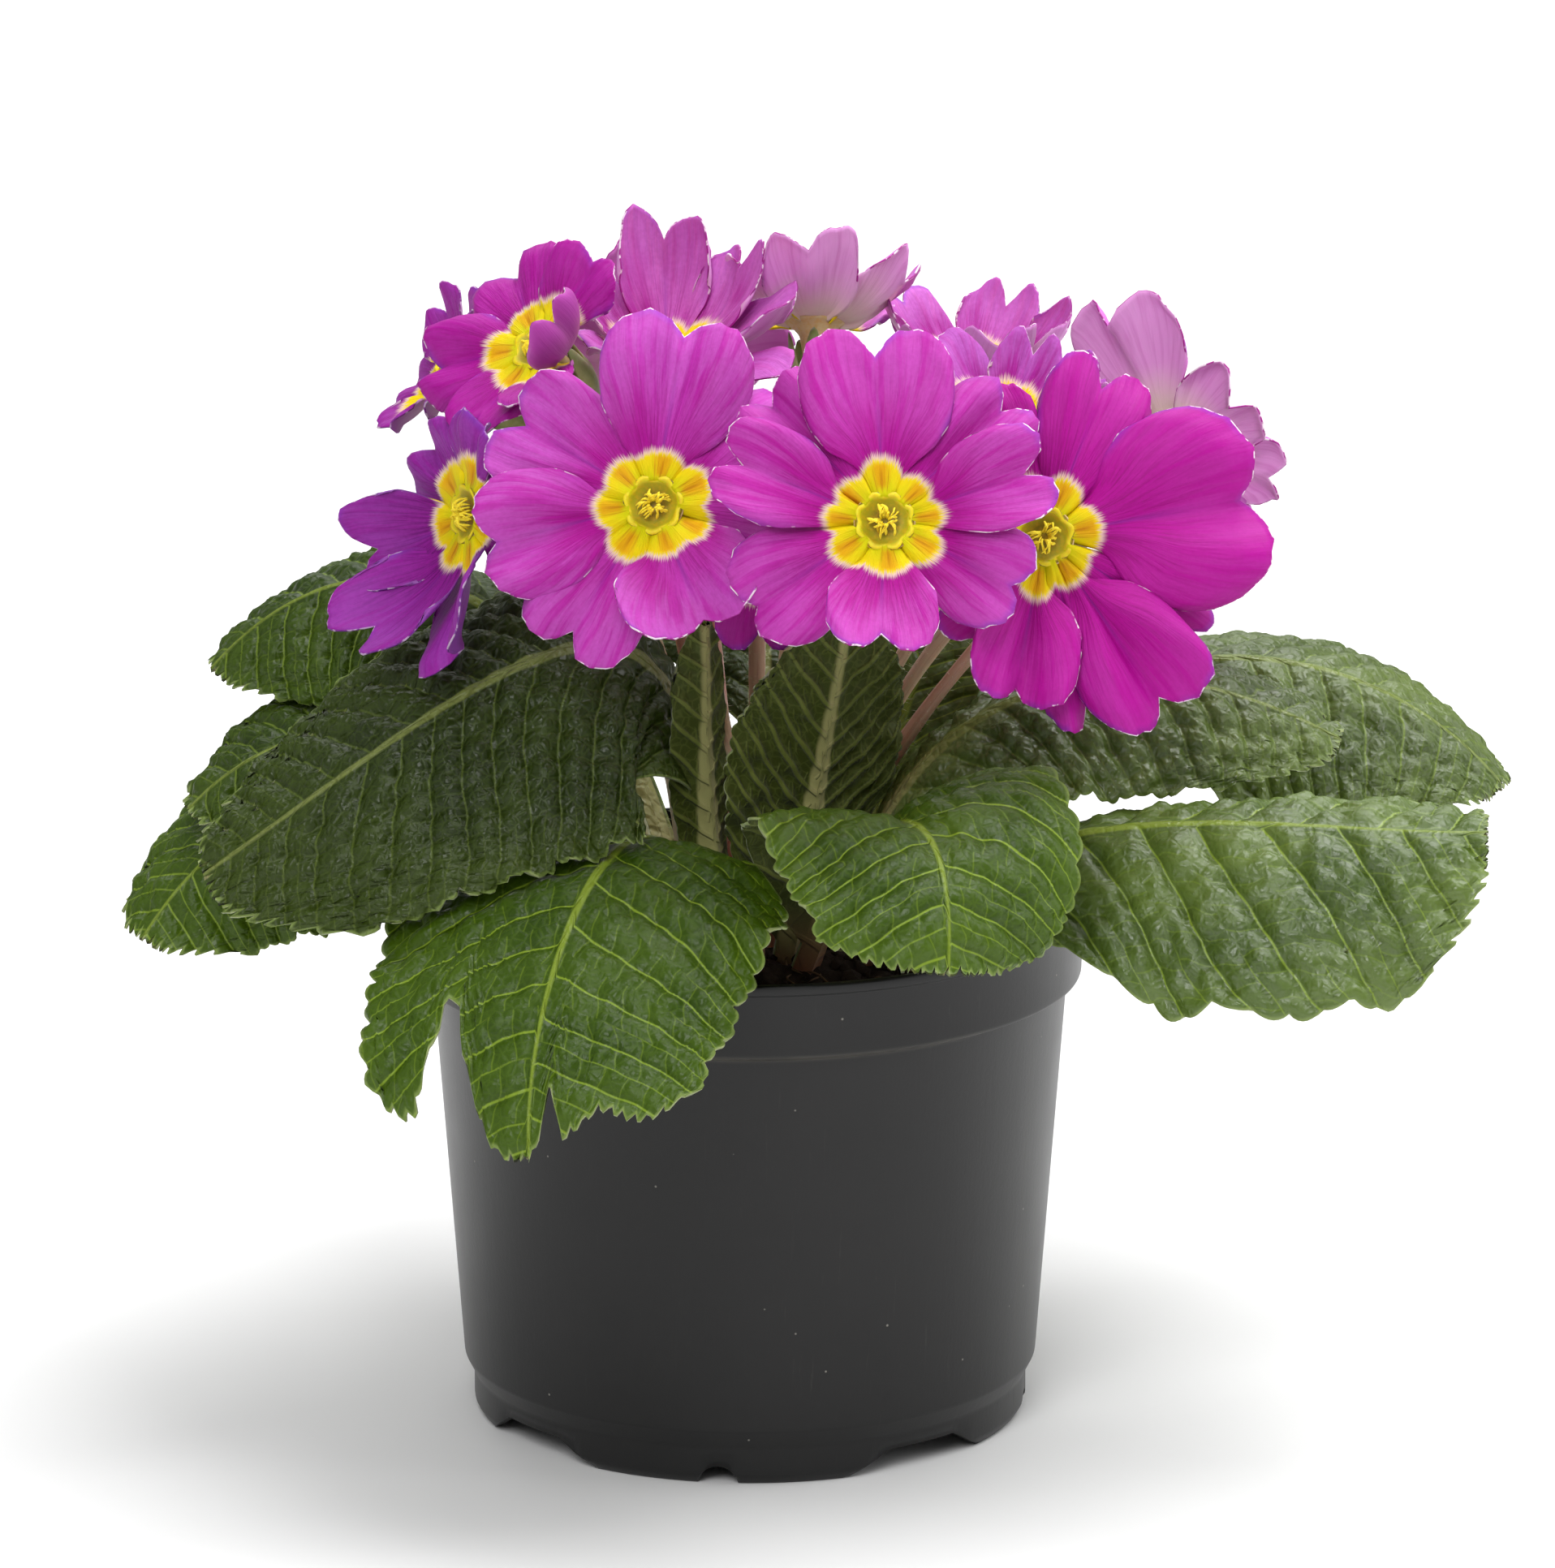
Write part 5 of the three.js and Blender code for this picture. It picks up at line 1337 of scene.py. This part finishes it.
def make_pot(settings):
    """The turned pot. Its facets gather where arches and notches are cut from its foot ring."""
    p = POT
    bm = new_mesh("pot")
    lathe(bm, settings.pot_steps, rounded(pot_profile(), p["corner"], 2))
    layer = bm.verts.layers.float_vector["pot"]
    for vert in bm.verts:
        radius, angle = math.hypot(vert.co.x, vert.co.y), math.atan2(vert.co.y, vert.co.x)
        angle -= p["gather"] * math.sin(p["feet"] * (angle - FIRST_FOOT))
        vert.co.x, vert.co.y = radius * math.cos(angle), radius * math.sin(angle)
        if radius > p["foot_radius"] - 2.3 and vert.co.z < p["floor_top"] - 1.6:
            vert.co.z = max(vert.co.z, float(foot_cut(angle)))
        vert[layer] = (math.cos(angle), vert.co.z, math.sin(angle))
    drill_drains(finish_piece("nursery_pot", bm, [pot_colour(settings)], ["pot"]))


# ---- Floor, lights and camera ----


def add_light(name, place, target, size, power):
    """A square lamp that shines at its target."""
    data = bpy.data.lights.new(name, "AREA")
    data.size = size
    data.energy = power
    light = add_object(name, data)
    light.location = place
    light.rotation_euler = (Vector(target) - Vector(place)).to_track_quat("-Z", "Y").to_euler()


def make_floor(settings):
    """A wide sheet of pale paper under the pot."""
    bm = bmesh.new()
    bmesh.ops.create_grid(bm, x_segments=2, y_segments=2, size=FLOOR_HALF)
    floor = add_object("floor", mesh_of("floor", bm, 1.0))
    m = Shader("floor_paper", Roughness=0.75, Specular_IOR_Level=0.2)
    floor.data.materials.append(m.finish(settings.floor_colour))


def make_camera():
    """Looks at the plant from the front and a little above, from far off."""
    data = bpy.data.cameras.new("camera")
    data.sensor_width = SENSOR
    data.lens = SENSOR * CAMERA["focal"] / max(IMAGE)
    data.clip_start, data.clip_end = 0.01, 50.0
    camera = add_object("camera", data)
    tilt = math.radians(CAMERA["elevation"])
    forward = Vector((0, math.cos(tilt), -math.sin(tilt)))
    camera.location = Vector(CAMERA["aim"]) * MM - forward * CAMERA["distance"] * MM
    camera.rotation_euler = forward.to_track_quat("-Z", "Y").to_euler()
    bpy.context.scene.camera = camera


def make_stage(settings):
    """A paper floor, an even surround, area lights and the camera."""
    make_floor(settings)
    world = bpy.context.scene.world or bpy.data.worlds.new("studio")
    bpy.context.scene.world = world
    world.use_nodes = True
    background = world.node_tree.nodes["Background"]
    background.inputs["Color"].default_value = (1.0, 1.0, 1.0, 1.0)
    background.inputs["Strength"].default_value = settings.surround
    for name, place, target, size, share in LIGHTS:
        add_light(name, place, target, size, settings.key_power * share)
    make_camera()
    bpy.context.scene.view_settings.view_transform = "Standard"


# ---- Settings, operators and panel ----


def colour_property(name, description, red, green, blue):
    return bpy.props.FloatVectorProperty(name=name, description=description, subtype="COLOR", size=4,
                                         min=0.0, max=1.0, default=rgb(red, green, blue))


def count_property(name, description, default, least):
    return bpy.props.IntProperty(name=name, description=description, default=default, min=least)


class PrimrosePotSettings(bpy.types.PropertyGroup):
    """Finish of the pot and the compost."""

    plastic_colour: colour_property("Plastic", "Colour of the moulded pot", 18, 18, 18)
    compost_colour: colour_property("Compost", "Colour of the moist peat", 34, 24, 18)
    pot_steps: count_property("Pot steps", "Facets round the pot", 320, 48)
    crumbs: count_property("Crumbs", "Loose crumbs on the compost", 650, 0)


class PrimroseLeafSettings(bpy.types.PropertyGroup):
    """Finish of the leaves."""

    old_leaf_colour: colour_property("Old leaf", "Blade colour of a dark, crinkled leaf", 32, 42, 10)
    young_leaf_colour: colour_property("Young leaf", "Blade colour of a bright leaf", 44, 69, 2)
    rib_colour: colour_property("Rib", "Colour of the rib and the leaf stalk", 164, 162, 104)
    leaf_columns: count_property("Columns", "Faces across a blade", 72, 8)
    leaf_rows: count_property("Rows", "Faces along a blade", 128, 8)


class PrimroseBloomSettings(bpy.types.PropertyGroup):
    """Finish of the blooms."""

    petal_colour: colour_property("Petal", "Magenta of the petals", 172, 0, 142)
    petal_light_colour: colour_property("Petal end", "Paler colour of a petal's end", 196, 68, 184)
    petal_ray_colour: colour_property("Ray", "Darker colour of a petal's rays", 142, 0, 112)
    violet_colour: colour_property("Violet", "Colour of the older, violet blooms", 136, 12, 136)
    back_colour: colour_property("Petal back", "Colour of the petals seen from behind", 234, 166, 224)
    patch_colour: colour_property("Eye patch", "Orange patch on each point of the eye", 226, 156, 6)
    petal_columns: count_property("Columns", "Faces across a petal", 24, 4)
    petal_rows: count_property("Rows", "Faces along a petal", 27, 4)


class PrimroseStageSettings(bpy.types.PropertyGroup):
    """Floor and lights."""

    floor_colour: colour_property("Floor", "Colour of the paper floor", 240, 240, 240)
    surround: bpy.props.FloatProperty(name="Surround", description="Strength of the even light",
                                      default=0.32, min=0.0)
    key_power: bpy.props.FloatProperty(name="Key", description="Power of the main light",
                                       default=17.0, min=0.0, unit="POWER")


class PRIMROSE_OT_pot(bpy.types.Operator):
    """Build the nursery pot"""

    bl_idname = "primrose.pot"
    bl_label = "Pot"

    def execute(self, context):
        make_pot(context.scene.primrose_pot)
        return {"FINISHED"}


class PRIMROSE_OT_compost(bpy.types.Operator):
    """Fill the pot with crumbly peat"""

    bl_idname = "primrose.compost"
    bl_label = "Compost"

    def execute(self, context):
        make_compost(context.scene.primrose_pot)
        return {"FINISHED"}


class PRIMROSE_OT_leaves(bpy.types.Operator):
    """Grow the rosette of leaves"""

    bl_idname = "primrose.leaves"
    bl_label = "Leaves"

    def execute(self, context):
        make_leaves(context.scene.primrose_leaf)
        return {"FINISHED"}


class PRIMROSE_OT_blooms(bpy.types.Operator):
    """Grow the blooms with their eyes, calyces and stalks"""

    bl_idname = "primrose.blooms"
    bl_label = "Blooms"

    def execute(self, context):
        make_blooms(context.scene.primrose_bloom)
        return {"FINISHED"}


class PRIMROSE_OT_stage(bpy.types.Operator):
    """Lay the floor and set up the lights and the camera"""

    bl_idname = "primrose.stage"
    bl_label = "Stage"

    def execute(self, context):
        make_stage(context.scene.primrose_stage)
        return {"FINISHED"}


class PRIMROSE_PT_panel(bpy.types.Panel):
    """Settings and operators of the potted primrose"""

    bl_idname = "PRIMROSE_PT_panel"
    bl_label = "Potted Primrose"
    bl_space_type = "VIEW_3D"
    bl_region_type = "UI"
    bl_category = "Primrose"

    def draw(self, context):
        for key, _, operators in GROUPS:
            box = self.layout.box()
            settings = getattr(context.scene, key)
            for name in settings.__annotations__:
                box.prop(settings, name)
            for operator in operators:
                box.operator(operator.bl_idname)


GROUPS = (
    ("primrose_stage", PrimroseStageSettings, (PRIMROSE_OT_stage,)),
    ("primrose_pot", PrimrosePotSettings, (PRIMROSE_OT_pot, PRIMROSE_OT_compost)),
    ("primrose_leaf", PrimroseLeafSettings, (PRIMROSE_OT_leaves,)),
    ("primrose_bloom", PrimroseBloomSettings, (PRIMROSE_OT_blooms,)),
)


def register():
    for key, settings, operators in GROUPS:
        for cls in (settings, *operators):
            bpy.utils.register_class(cls)
        setattr(bpy.types.Scene, key, bpy.props.PointerProperty(type=settings))
    bpy.utils.register_class(PRIMROSE_PT_panel)


def unregister():
    bpy.utils.unregister_class(PRIMROSE_PT_panel)
    for key, settings, operators in reversed(GROUPS):
        delattr(bpy.types.Scene, key)
        for cls in (*reversed(operators), settings):
            bpy.utils.unregister_class(cls)


def main():
    register()
    bpy.ops.primrose.stage()
    bpy.ops.primrose.pot()
    bpy.ops.primrose.compost()
    bpy.ops.primrose.leaves()
    bpy.ops.primrose.blooms()


if __name__ == "__main__":
    main()
